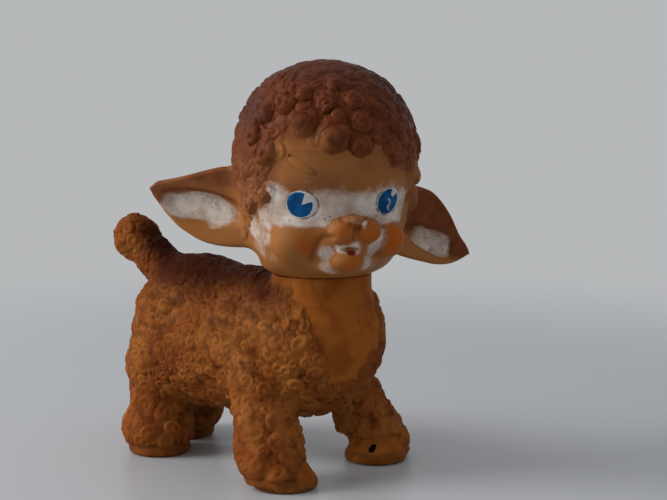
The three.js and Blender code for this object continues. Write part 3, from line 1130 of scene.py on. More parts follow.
@dataclass(frozen=True)
class HeadRubber:
    """Old tan rubber: brown over the hair and ears that is partly sprayed paint and partly painted shade, a painted
    glow on the lower face, painted shade in the creases and grooves, a painted highlight with some rubbing wear on
    the curl tops, worn white paint, rouge, and blue eyes.
    """

    skin: Colour = tint(134, 82, 48)
    ochre: Colour = tint(156, 100, 52)
    rouge: Colour = tint(170, 84, 20)
    # Brown and the darker crown: partly sprayed paint, partly painted shade.
    brown: Colour = tint(106, 51, 24)
    crown: Colour = tint(74, 37, 23)
    # Grime and painted shade in the grooves of the hair.
    groove: Colour = tint(50, 22, 11)
    # Lighter curl tops: a painted highlight with some rubbing wear.
    rubbed: Colour = tint(124, 70, 36)
    white: Colour = tint(220, 210, 200)
    grey: Colour = tint(188, 167, 151)
    eye_white: Colour = tint(196, 189, 186)
    outline: Colour = tint(60, 32, 24)
    blue: Colour = tint(14, 84, 136)
    deep_blue: Colour = tint(8, 62, 108)
    mouth: Colour = tint(112, 38, 28)
    dirt: Colour = tint(34, 20, 14)
    pit: Colour = tint(20, 10, 7)

    def rubber(self, s: Shades) -> bpy.types.NodeSocket:
        """Lays out the bare rubber with a painted glow on the lower face, and the brown over the hair and the ears,
        partly sprayed paint and partly painted shade.

        Args:
            s: The material's nodes.

        Returns:
            The colour.
        """
        wool, hair = s.mark("wool"), s.mark("hair")
        mottle, patch = s.noise(20.0, 4.0), s.noise(6.0, 4.0, 0.5)
        skin = s.blend(s.ease(mottle, 0.34, 0.66), self.skin, self.ochre)
        # Lighter, oranger lower face: a painted glow.
        skin = s.blend(s.ease(s.mark("glow"), 0.0, 1.0), skin, self.ochre)
        red = s.times(s.mark("rouge"), s.ease(patch, 0.2, 0.6))
        skin = s.blend(red, skin, self.rouge)
        # Darker creases of the face: painted shade.
        skin = s.blend(s.times(s.mark("fold"), 0.45), skin, self.brown)
        # Brown over the hair and ears: partly sprayed paint, partly painted shade; darkest on the crown.
        spray_and_shade = s.ragged(s.mark("spray_and_shade"), patch, 0.5)
        skin = s.blend(s.ease(spray_and_shade, 0.05, 0.75), skin, self.brown)
        skin = s.blend(s.ease(spray_and_shade, 0.75, 1.5), skin, self.crown)
        # Darker grooves in the hair: grime with painted shade.
        deep = s.times(s.ease(wool, 0.36, 0.04), hair, 0.55)
        skin = s.blend(deep, skin, self.groove)
        # Lighter curl tops in the hair: a painted highlight with some rubbing wear.
        worn = s.times(s.ease(wool, 0.7, 1.2), s.ease(patch, 0.46, 0.66))
        return s.blend(s.times(worn, hair, 0.4), skin, self.rubbed)

    def paint(self, s: Shades, colour: bpy.types.NodeSocket) -> bpy.types.NodeSocket:
        """Lays the worn white paint, the eyes and the mouth over the rubber.

        Args:
            s: The material's nodes.
            colour: Colour of the rubber.

        Returns:
            The painted colour.
        """
        fine, patch = s.noise(1.4, 4.0), s.noise(5.0, 4.0, 0.4)
        share = s.ease(s.ragged(s.ragged(s.mark("white"), fine, 0.55), patch, 0.8), 0.12, 0.95)
        chips = s.ease(s.noise(1.3, 2.0), 0.68, 0.72, 1.0, 0.3)
        cover = s.blend(s.ease(s.noise(9.0, 4.0), 0.35, 0.65), self.white, self.grey)
        colour = s.blend(s.times(share, chips, 0.94), colour, cover)
        scratch = s.hairlines(s.noise(6.0, 3.0, 0.8, (0.6, 1.0, 1.8)), 0.012, 0.003)
        soiled = s.times(scratch, s.ease(s.noise(8.0, 3.0), 0.5, 0.62))
        crack = s.hairlines(s.noise(5.0, 3.0, 0.4, (0.35, 1.0, 2.2)), 0.014, 0.004)
        crack = s.times(crack, s.ease(s.noise(6.0, 3.0), 0.5, 0.6), s.mark("lining"))
        soiled = s.maths("MAXIMUM", soiled, crack)
        soiled = s.maths("MAXIMUM", soiled, s.ease(s.noise(1.7, 2.0), 0.71, 0.74))
        colour = s.blend(s.times(soiled, share, 0.75), colour, self.dirt)
        eye = s.mark("eye")
        colour = s.blend(s.ease(eye, 0.15, -0.15), colour, self.eye_white)
        rim = s.ease(s.maths("ABSOLUTE", eye), 0.42, 0.12)
        rim = s.times(rim, s.ease(s.noise(3.0, 3.0), 0.42, 0.58, 0.05, 0.75))
        colour = s.blend(rim, colour, self.outline)
        edge = s.ragged(s.mark("iris"), fine, 0.5)
        blue = s.blend(s.ease(s.noise(4.0, 3.0), 0.35, 0.65), self.blue, self.deep_blue)
        colour = s.blend(s.ease(edge, 0.14, -0.14), colour, blue)
        colour = s.blend(s.mark("scratch"), colour, self.eye_white)
        colour = s.blend(s.mark("mouth"), colour, self.mouth)
        return s.blend(s.mark("pit"), colour, self.pit)

    def material(self) -> bpy.types.Material:
        """Builds the material.

        Returns:
            The material.
        """
        s = Shades("head_rubber")
        s.set("Base Color", self.paint(s, self.rubber(s)))
        s.soft_rubber(smoothest=0.38, roughest=0.58, specular=0.08)
        s.bump(s.noise(0.8, 3.0), 0.08, 0.3)
        return s.material


@dataclass(frozen=True)
class Metal:
    """Thin stamped metal with rubbed scratches and dull spots."""

    name: str
    bright: Colour
    dull: Colour
    roughness: float

    def material(self) -> bpy.types.Material:
        """Builds the material.

        Returns:
            The material.
        """
        s = Shades(self.name)
        spots = s.ease(s.noise(3.0, 4.0, 0.5), 0.42, 0.66)
        s.set("Base Color", s.blend(spots, self.bright, self.dull))
        s.set("Metallic", 1.0)
        brushed = s.noise(0.9, 3.0, 0.0, (1.0, 0.12, 1.0))
        s.set("Roughness", s.ease(brushed, 0.3, 0.7, self.roughness - 0.08, self.roughness + 0.14))
        s.bump(brushed, 0.03, 0.3)
        return s.material


# Pieces


@dataclass(frozen=True)
class Leg:
    """Where one leg stands, how it leans per millimetre of height, and how far its hoof is set off."""

    foot: tuple[float, float]
    lean: tuple[float, float]
    toe: tuple[float, float]
    front: bool


@dataclass
class LambBody:
    """The body moulding: torso, chest, neck, four legs with hooves, and tail, in the lamb's own millimetres."""

    quad_size: float = 1.0
    room_low: Triple = (-52.0, -31.0, -1.5)
    room_high: Triple = (52.0, 145.0, 106.0)
    lump_seed: int = 7
    wool_seed: int = 11
    torso_front: Triple = (0.0, 9.0, 55.4)
    torso_rear: Triple = (0.0, 69.8, 53.6)
    torso_front_radius: float = 30.6
    torso_rear_radius: float = 31.6
    torso_widen: float = 0.985
    rump_middle: Triple = (0.0, 71.4, 57.0)
    rump_radii: Triple = (25.6, 25.6, 30.8)
    rump_fillet: float = 8.0
    chest_middle: Triple = (0.0, -0.5, 61.0)
    chest_radii: Triple = (25.2, 24.8, 24.0)
    chest_fillet: float = 9.0
    neck_radius: float = 21.3
    neck_foot: float = 55.0
    neck_edge: float = 0.7
    neck_fillet: float = 5.0
    neck_top: float = 87.7
    neck_lip: float = 3.0
    neck_hole: float = 12.0
    neck_well: float = 18.5
    neck_well_floor: float = 68.0
    neck_cut_over: float = 95.0
    leg_heights: tuple[float, ...] = (2.2, 7.0, 13.0, 20.0, 27.0, 34.0, 42.0, 50.0)
    front_radii: tuple[float, ...] = (12.2, 13.2, 13.6, 13.0, 12.6, 12.6, 12.4, 10.0)
    rear_radii: tuple[float, ...] = (12.4, 14.2, 14.4, 12.6, 11.8, 12.4, 13.6, 12.0)
    legs: tuple[Leg, ...] = (
        Leg(foot=(-34.3, -3.1), lean=(0.28, 0.45), toe=(4.3, -1.9), front=True),
        Leg(foot=(40.8, -3.2), lean=(-0.32, 0.42), toe=(-9.3, -1.3), front=True),
        Leg(foot=(-20.5, 81.0), lean=(0.08, 0.02), toe=(0.6, -0.8), front=False),
        Leg(foot=(12.5, 96.5), lean=(0.08, -0.24), toe=(-0.6, -0.8), front=False),
    )
    leg_fillet: float = 5.0
    hock_fillet: float = 2.5
    hocks: tuple[Ball, ...] = (Ball((-19.6, 89.6, 38.0), (7.4, 7.4, 8.2)), Ball((17.0, 96.0, 38.0), (7.4, 7.4, 8.2)))
    hoof_radius: float = 13.8
    hoof_height: float = 4.4
    hoof_edge: float = 1.7
    hoof_fillet: float = 0.7
    toe_radii: Triple = (13.2, 13.2, 6.6)
    toe_sink: float = 1.0
    toe_fillet: float = 3.0
    tail_root: Triple = (0.0, 75.0, 68.2)
    tail_lift_deg: float = 36.0
    tail_turn_deg: float = 6.5
    tail_waist_at: float = 27.5
    tail_tuft_at: float = 43.6
    tail_root_radius: float = 11.4
    tail_waist_radius: float = 7.8
    tail_tuft_radius: float = 9.6
    tail_tuft_step: float = 1.5
    tail_root_fillet: float = 7.0
    tail_fillet: float = 3.0
    whistle_back: float = 38.0
    pad_radius: float = 12.5
    pad_under: float = 19.9
    pad_over: float = 23.1
    boss_over: float = 30.0
    pad_edge: float = 1.2
    pad_fillet: float = 3.5
    pad_roof: float = 40.0
    whistle_hole: float = 7.5
    whistle_room: float = 9.7
    whistle_roof: float = 28.5
    whistle_cut_under: float = 10.0
    whistle_dark_roof: float = 36.0
    hole_edge: float = 0.3
    well_edge: float = 1.0
    ground: Disc = Disc((0.0, 45.0), -20.0, 0.0, 140.0, 0.0)
    toe_hole_radius: float = 1.3
    toe_hole_height: float = 7.0
    toe_hole_azimuth_deg: float = -70.0
    toe_hole_reach: tuple[float, float] = (5.0, 24.0)
    toe_hole_fillet: float = 0.5
    toe_hole_roof: float = 14.0
    toe_top: float = 10.5
    toe_reach: float = 22.0
    bib_reach: float = 30.0
    bib_azimuths: tuple[float, ...] = (
        -180.0, -110.0, -90.0, -72.0, -60.0, -52.0, -47.0, -40.0, -28.0, -10.0, 0.0, 10.0, 20.0, 30.0, 50.0, 180.0
    )
    bib_heights: tuple[float, ...] = (
        83.0, 81.5, 79.0, 74.0, 67.0, 58.0, 49.0, 43.5, 41.0, 42.5, 46.0, 52.0, 60.0, 70.0, 79.0, 83.0
    )
    tuft_first: float = 15.0
    tuft_pitch: float = 18.5
    tuft_rows: int = 5
    tuft_angles_deg: tuple[float, ...] = (52.0, 84.0, 116.0)
    tuft_stagger_deg: float = 14.0
    tuft_radius: float = 9.5
    tuft_rise: float = 1.1
    cuff_height: float = 13.0
    cuff_tufts: int = 5
    cuff_tuft_radius: float = 7.0
    cuff_tuft_rise: float = 1.0
    waves: CurlStyle = CurlStyle(6.0, 0.25, 0.9, 1.0, 1.0, 1.2)
    flank: CurlStyle = CurlStyle(3.5, 0.32, 1.15, 0.4, 1.05, 1.6, 0.6)
    lower_leg: CurlStyle = CurlStyle(4.3, 0.25, 1.5, 0.55, 1.05, 1.5, 0.3)
    between: CurlStyle = CurlStyle(2.4, 0.25, 0.55, 0.6, 0.8, 1.4, 0.5)
    leg_wool_under: float = 32.0
    wool_full: float = 1.2
    wool_foot: float = 3.0
    back_heights: tuple[float, float] = (74.0, 84.0)
    back_flatten: float = 0.4
    tail_from: float = 95.0

    def tail_at(self, along: float) -> Triple:
        """Gives the point on the tail's middle line at a distance from its root.

        Args:
            along: The distance.

        Returns:
            The point.
        """
        lift = math.radians(self.tail_lift_deg)
        turn = math.radians(self.tail_turn_deg)
        x, y, z = self.tail_root
        level = along * math.cos(lift)
        return (x - level * math.sin(turn), y + level * math.cos(turn), z + along * math.sin(lift))

    def toe_hole(self) -> Limb:
        """Gives the worn hole in the left front toe.

        Returns:
            The hole as a bar.
        """
        azimuth = math.radians(self.toe_hole_azimuth_deg)
        x, y = self.legs[1].foot
        out = np.array([math.sin(azimuth), -math.cos(azimuth)])
        start, end = (np.array([x, y]) + reach * out for reach in self.toe_hole_reach)
        height = self.toe_hole_height
        return Limb((*start, height), (*end, height), self.toe_hole_radius, self.toe_hole_radius)

    def shape(self) -> Sculpture:
        """Joins the forms of the body.

        Returns:
            The sculpture without curls.
        """
        s = Sculpture()
        front, rear = self.torso_front_radius, self.torso_rear_radius
        s.add(Limb(self.torso_front, self.torso_rear, front, rear, (self.torso_widen, 1.0, 1.0)))
        s.add(Ball(self.rump_middle, self.rump_radii), self.rump_fillet)
        s.add(Ball(self.chest_middle, self.chest_radii), self.chest_fillet)
        for leg in self.legs:
            across = tuple(leg.foot[0] + leg.lean[0] * h for h in self.leg_heights)
            along = tuple(leg.foot[1] + leg.lean[1] * h for h in self.leg_heights)
            radii = self.front_radii if leg.front else self.rear_radii
            s.add(Turned(self.leg_heights, radii, across, along), self.leg_fillet)
        for hock in self.hocks:
            s.add(hock, self.hock_fillet)
        root, waist, tuft = self.tail_at(0.0), self.tail_at(self.tail_waist_at), self.tail_at(self.tail_tuft_at)
        s.add(Limb(root, waist, self.tail_root_radius, self.tail_waist_radius), self.tail_root_fillet)
        end_radius = self.tail_tuft_radius - self.tail_tuft_step
        s.add(Limb(waist, tuft, self.tail_waist_radius, end_radius), self.tail_fillet)
        s.add(Ball(tuft, (self.tail_tuft_radius,) * 3), self.tail_fillet)
        s.add(Disc((0.0, 0.0), self.neck_foot, self.neck_top, self.neck_radius, self.neck_edge), self.neck_fillet)
        for leg in self.legs:
            middle = (leg.foot[0] + leg.toe[0], leg.foot[1] + leg.toe[1])
            s.add(Ball((*middle, self.hoof_height - self.toe_sink), self.toe_radii), self.toe_fillet)
            s.add(Disc(middle, 0.0, self.hoof_height, self.hoof_radius, self.hoof_edge), self.hoof_fillet)
        pad_middle = (0.0, self.whistle_back)
        s.add(Disc(pad_middle, self.pad_under, self.boss_over, self.pad_radius, self.pad_edge), self.pad_fillet)
        well_roof = self.neck_top - self.neck_lip
        s.cut(Disc((0.0, 0.0), self.neck_well_floor, self.neck_cut_over, self.neck_hole, self.hole_edge))
        s.cut(Disc((0.0, 0.0), self.neck_well_floor, well_roof, self.neck_well, self.well_edge))
        s.cut(Disc(pad_middle, self.whistle_cut_under, self.whistle_roof, self.whistle_hole, self.hole_edge))
        s.cut(Disc(pad_middle, self.pad_over, self.whistle_roof, self.whistle_room, self.hole_edge))
        s.cut(self.toe_hole(), self.toe_hole_fillet)
        s.cut(self.ground)
        return s

    def tufts(self) -> list[tuple[Triple, float, float]]:
        """Lists the largest lumps of the fleece.

        Returns:
            Middle, radius and rise of each tuft on the flanks and round the legs.
        """
        found = []
        low, high = np.array(self.torso_front), np.array(self.torso_rear)
        for row, side in product(range(self.tuft_rows), Side):
            back = self.tuft_first + row * self.tuft_pitch
            share = (back - low[1]) / (high[1] - low[1])
            middle = low + (high - low) * share
            radius = self.torso_front_radius + share * (self.torso_rear_radius - self.torso_front_radius)
            past = max(share - 1.0, 0.0) * (high[1] - low[1])
            radius = math.sqrt(max(radius * radius - past * past, 1.0))
            for angle_deg in self.tuft_angles_deg:
                angle = math.radians(angle_deg + (row % 2) * self.tuft_stagger_deg)
                across = side.value * radius * math.sin(angle)
                found.append(((across, back, middle[2] + radius * math.cos(angle)), self.tuft_radius, self.tuft_rise))
        for leg in self.legs:
            radius = max(self.front_radii if leg.front else self.rear_radii)
            for i in range(self.cuff_tufts):
                angle = 2.0 * math.pi * i / self.cuff_tufts
                x = leg.foot[0] + leg.lean[0] * self.cuff_height + radius * math.sin(angle)
                y = leg.foot[1] + leg.lean[1] * self.cuff_height - radius * math.cos(angle)
                found.append(((x, y, self.cuff_height), self.cuff_tuft_radius, self.cuff_tuft_rise))
        return found

    def swell(self, p: np.ndarray) -> np.ndarray:
        """Gives how far the tufts raise the fleece.

        Args:
            p: Points of the skin.

        Returns:
            Rises in millimetres.
        """
        total = np.zeros(len(p))
        for middle, radius, rise in self.tufts():
            out = np.linalg.norm(p - np.array(middle), axis=1) / radius
            total = np.maximum(total, rise * smooth_step(1.0, 0.15, out))
        return total

    def smoothness(self, p: np.ndarray) -> np.ndarray:
        """Gives where the rubber is smooth: neck and bib, hooves, front toes, and the pad round the whistle.

        Args:
            p: Points of the skin.

        Returns:
            1 where smooth, 0 where woolly.
        """
        angle = np.degrees(np.arctan2(p[:, 0], -p[:, 1]))
        line = np.interp(angle, self.bib_azimuths, self.bib_heights)
        wander = 1.5 * np.sin(angle * 0.33) + 1.1 * np.sin(angle * 0.81 + 1.0) + 0.8 * np.sin(p[:, 2] * 1.1)
        bib = smooth_step(-1.2, 1.2, p[:, 2] - line - wander) * (np.hypot(p[:, 0], p[:, 1]) < self.bib_reach)
        toes = np.zeros(len(p))
        for leg in self.legs[:2]:
            ahead = (p[:, :2] - np.array(leg.foot)) @ np.array(leg.toe) / math.hypot(*leg.toe)
            near = np.linalg.norm(p[:, :2] - np.array(leg.foot), axis=1) < self.toe_reach
            toes = np.maximum(toes, smooth_step(3.0, 7.0, ahead) * near)
        toes *= smooth_step(self.toe_top + 1.0, self.toe_top - 1.0, p[:, 2] + 0.5 * wander)
        pad_out = np.hypot(p[:, 0], p[:, 1] - self.whistle_back)
        pad = smooth_step(self.pad_radius + 3.0, self.pad_radius + 1.0, pad_out) * (p[:, 2] < self.pad_roof)
        return np.clip(np.maximum.reduce([bib, toes, pad, self.hooves(p)]), 0.0, 1.0)

    def hooves(self, p: np.ndarray) -> np.ndarray:
        """Gives 1 on the hooves."""
        return smooth_step(self.hoof_height + 0.9, self.hoof_height + 0.1, p[:, 2])

    def inside(self, p: np.ndarray) -> np.ndarray:
        """Gives 1 in the neck well, the whistle hole and the toe hole.

        Args:
            p: Points of the skin.

        Returns:
            Shares from 0 to 1.
        """
        well = (np.hypot(p[:, 0], p[:, 1]) < self.neck_well + 0.3) & (p[:, 2] < self.neck_top - 0.2)
        well &= p[:, 2] > self.neck_well_floor - 0.5
        pad_out = np.hypot(p[:, 0], p[:, 1] - self.whistle_back)
        hole = (pad_out < self.whistle_room + 0.2) & (p[:, 2] > self.pad_under + 0.3)
        hole &= p[:, 2] < self.whistle_dark_roof
        toe = smooth_step(0.5, -0.1, self.toe_hole().distance(p)) * (p[:, 2] < self.toe_hole_roof)
        return np.maximum(np.maximum(well, hole).astype(float), toe)

    def build(self, place: Matrix) -> bpy.types.Object:
        """Builds and dresses the body.

        Args:
            place: From the lamb's millimetres to the row frame.

        Returns:
            The finished piece.
        """
        shape = self.shape()
        skin = Skin.sculpted(shape, self.room_low, self.room_high, self.quad_size)
        n = skin.normals_on(shape)
        p = skin.points.copy()
        smooth, inside = self.smoothness(p), self.inside(p)
        woolly = (smooth < 0.3) & (inside < 0.1) & (p[:, 2] > self.hoof_height + self.wool_foot)
        lumps = Fleece(p, n, self.lump_seed)
        lumps.scatter(woolly, self.waves)
        fleece = Fleece(p, n, self.wool_seed)
        low = p[:, 2] < self.leg_wool_under
        count = fleece.scatter(woolly & low, self.lower_leg)
        count += fleece.scatter(woolly & ~low, self.flank)
        count += fleece.scatter(woolly, self.between)
        LOG.info("body curls: %d", count)
        bare = np.maximum(self.hooves(p), inside)
        rise = fleece.height * (1.0 - bare) + (lumps.height + self.swell(p)) * (1.0 - smooth) * (1.0 - bare)
        rise *= 1.0 - self.back_flatten * smooth_step(*self.back_heights, p[:, 2]) * (p[:, 1] < self.tail_from)
        smooth *= smooth_step(0.35, 0.05, fleece.height * (1.0 - bare))
        skin.points = p + n * rise[:, None]
        # Brown over the top: partly sprayed paint, partly painted shade, darker higher up and on upward faces; a
        # little on the tail, none on the bib.
        up = smooth_step(-0.1, 0.9, n[:, 2])
        shade = smooth_step(62.0, 86.0, p[:, 2] + 5.0 * (cloud(p, 8.0) - 0.5)) * (0.3 + 0.7 * up)
        shade = np.maximum(shade * smooth_step(112.0, 98.0, p[:, 1]), 0.12 * smooth_step(98.0, 112.0, p[:, 1]))
        shade *= 1.0 - smooth_step(8.0, -8.0, p[:, 1]) * smooth
        marks = {
            "wool": fleece.height / self.wool_full,
            "shade": shade,
            "smooth": smooth,
            "hoof": self.hooves(p),
            "pit": inside,
        }
        piece = skin.to_object("lamb_body", place, marks)
        piece.data.materials.append(BodyRubber().material())
        return piece


@dataclass(frozen=True)
class PaintedEye:
    """One painted eye on the face, with a white glint cut out of the blue."""

    middle: Triple
    facing: Triple
    iris_offset: tuple[float, float]
    glint_deg: tuple[float, float]
    glint_start: float
    glint_apex: tuple[float, float] = (0.0, 0.0)
    oval: tuple[float, float] = (6.8, 5.9)
    iris: tuple[float, float] = (5.55, 5.4)
    reach: float = 14.0

    def flat(self, p: np.ndarray) -> tuple[np.ndarray, np.ndarray]:
        """Gives each point's place across and up the eye, far off where it isn't near the eye.

        Args:
            p: Points of the skin.

        Returns:
            Places across and up.
        """
        n = np.array(self.facing) / np.linalg.norm(self.facing)
        across = np.cross((0.0, 0.0, 1.0), n)
        across /= np.linalg.norm(across)
        q = p - np.array(self.middle)
        far = FAR * (np.linalg.norm(q, axis=1) > self.reach)
        return q @ across + far, q @ np.cross(n, across)

    def oval_distance(self, p: np.ndarray) -> np.ndarray:
        """Gives the distance to the edge of the eye, negative inside."""
        u, v = self.flat(p)
        return (np.hypot(u / self.oval[0], v / self.oval[1]) - 1.0) * min(self.oval)

    def iris_distance(self, p: np.ndarray) -> np.ndarray:
        """Gives the distance to the edge of the blue, negative inside.

        Args:
            p: Points of the skin.

        Returns:
            Distances in millimetres.
        """
        u, v = self.flat(p)
        u, v = u - self.iris_offset[0], v - self.iris_offset[1]
        round_edge = (np.hypot(u / self.iris[0], v / self.iris[1]) - 1.0) * min(self.iris)
        low, high = (math.radians(a) for a in self.glint_deg)
        x, y = u - self.glint_apex[0], v - self.glint_apex[1]
        above_low = y * math.cos(low) - x * math.sin(low)
        under_high = x * math.sin(high) - y * math.cos(high)
        past = np.hypot(u, v) - self.glint_start
        return np.maximum(round_edge, np.minimum(np.minimum(above_low, under_high), past))


@dataclass(frozen=True)
class Lock:
    """A lock of hair that ends in a round curl."""

    place: Triple
    radius: float
    rise: float
    turns: float = 1.1
    winding: Winding = Winding.COUNTER
    spin: float = 0.0
    swirl: float = 0.5


@dataclass(frozen=True)
class Crease:
    """A fold pressed into the face, as a line seen from the front."""

    width: float
    depth: float
    line: tuple[tuple[float, float], ...]

    def depth_at(self, p: np.ndarray) -> np.ndarray:
        """Gives how deep the fold is.

        Args:
            p: Points of the skin.

        Returns:
            Depth in millimetres.
        """
        near = from_line(p[:, [0, 2]], self.line)
        return self.depth * np.exp(-((near / self.width) ** 2))


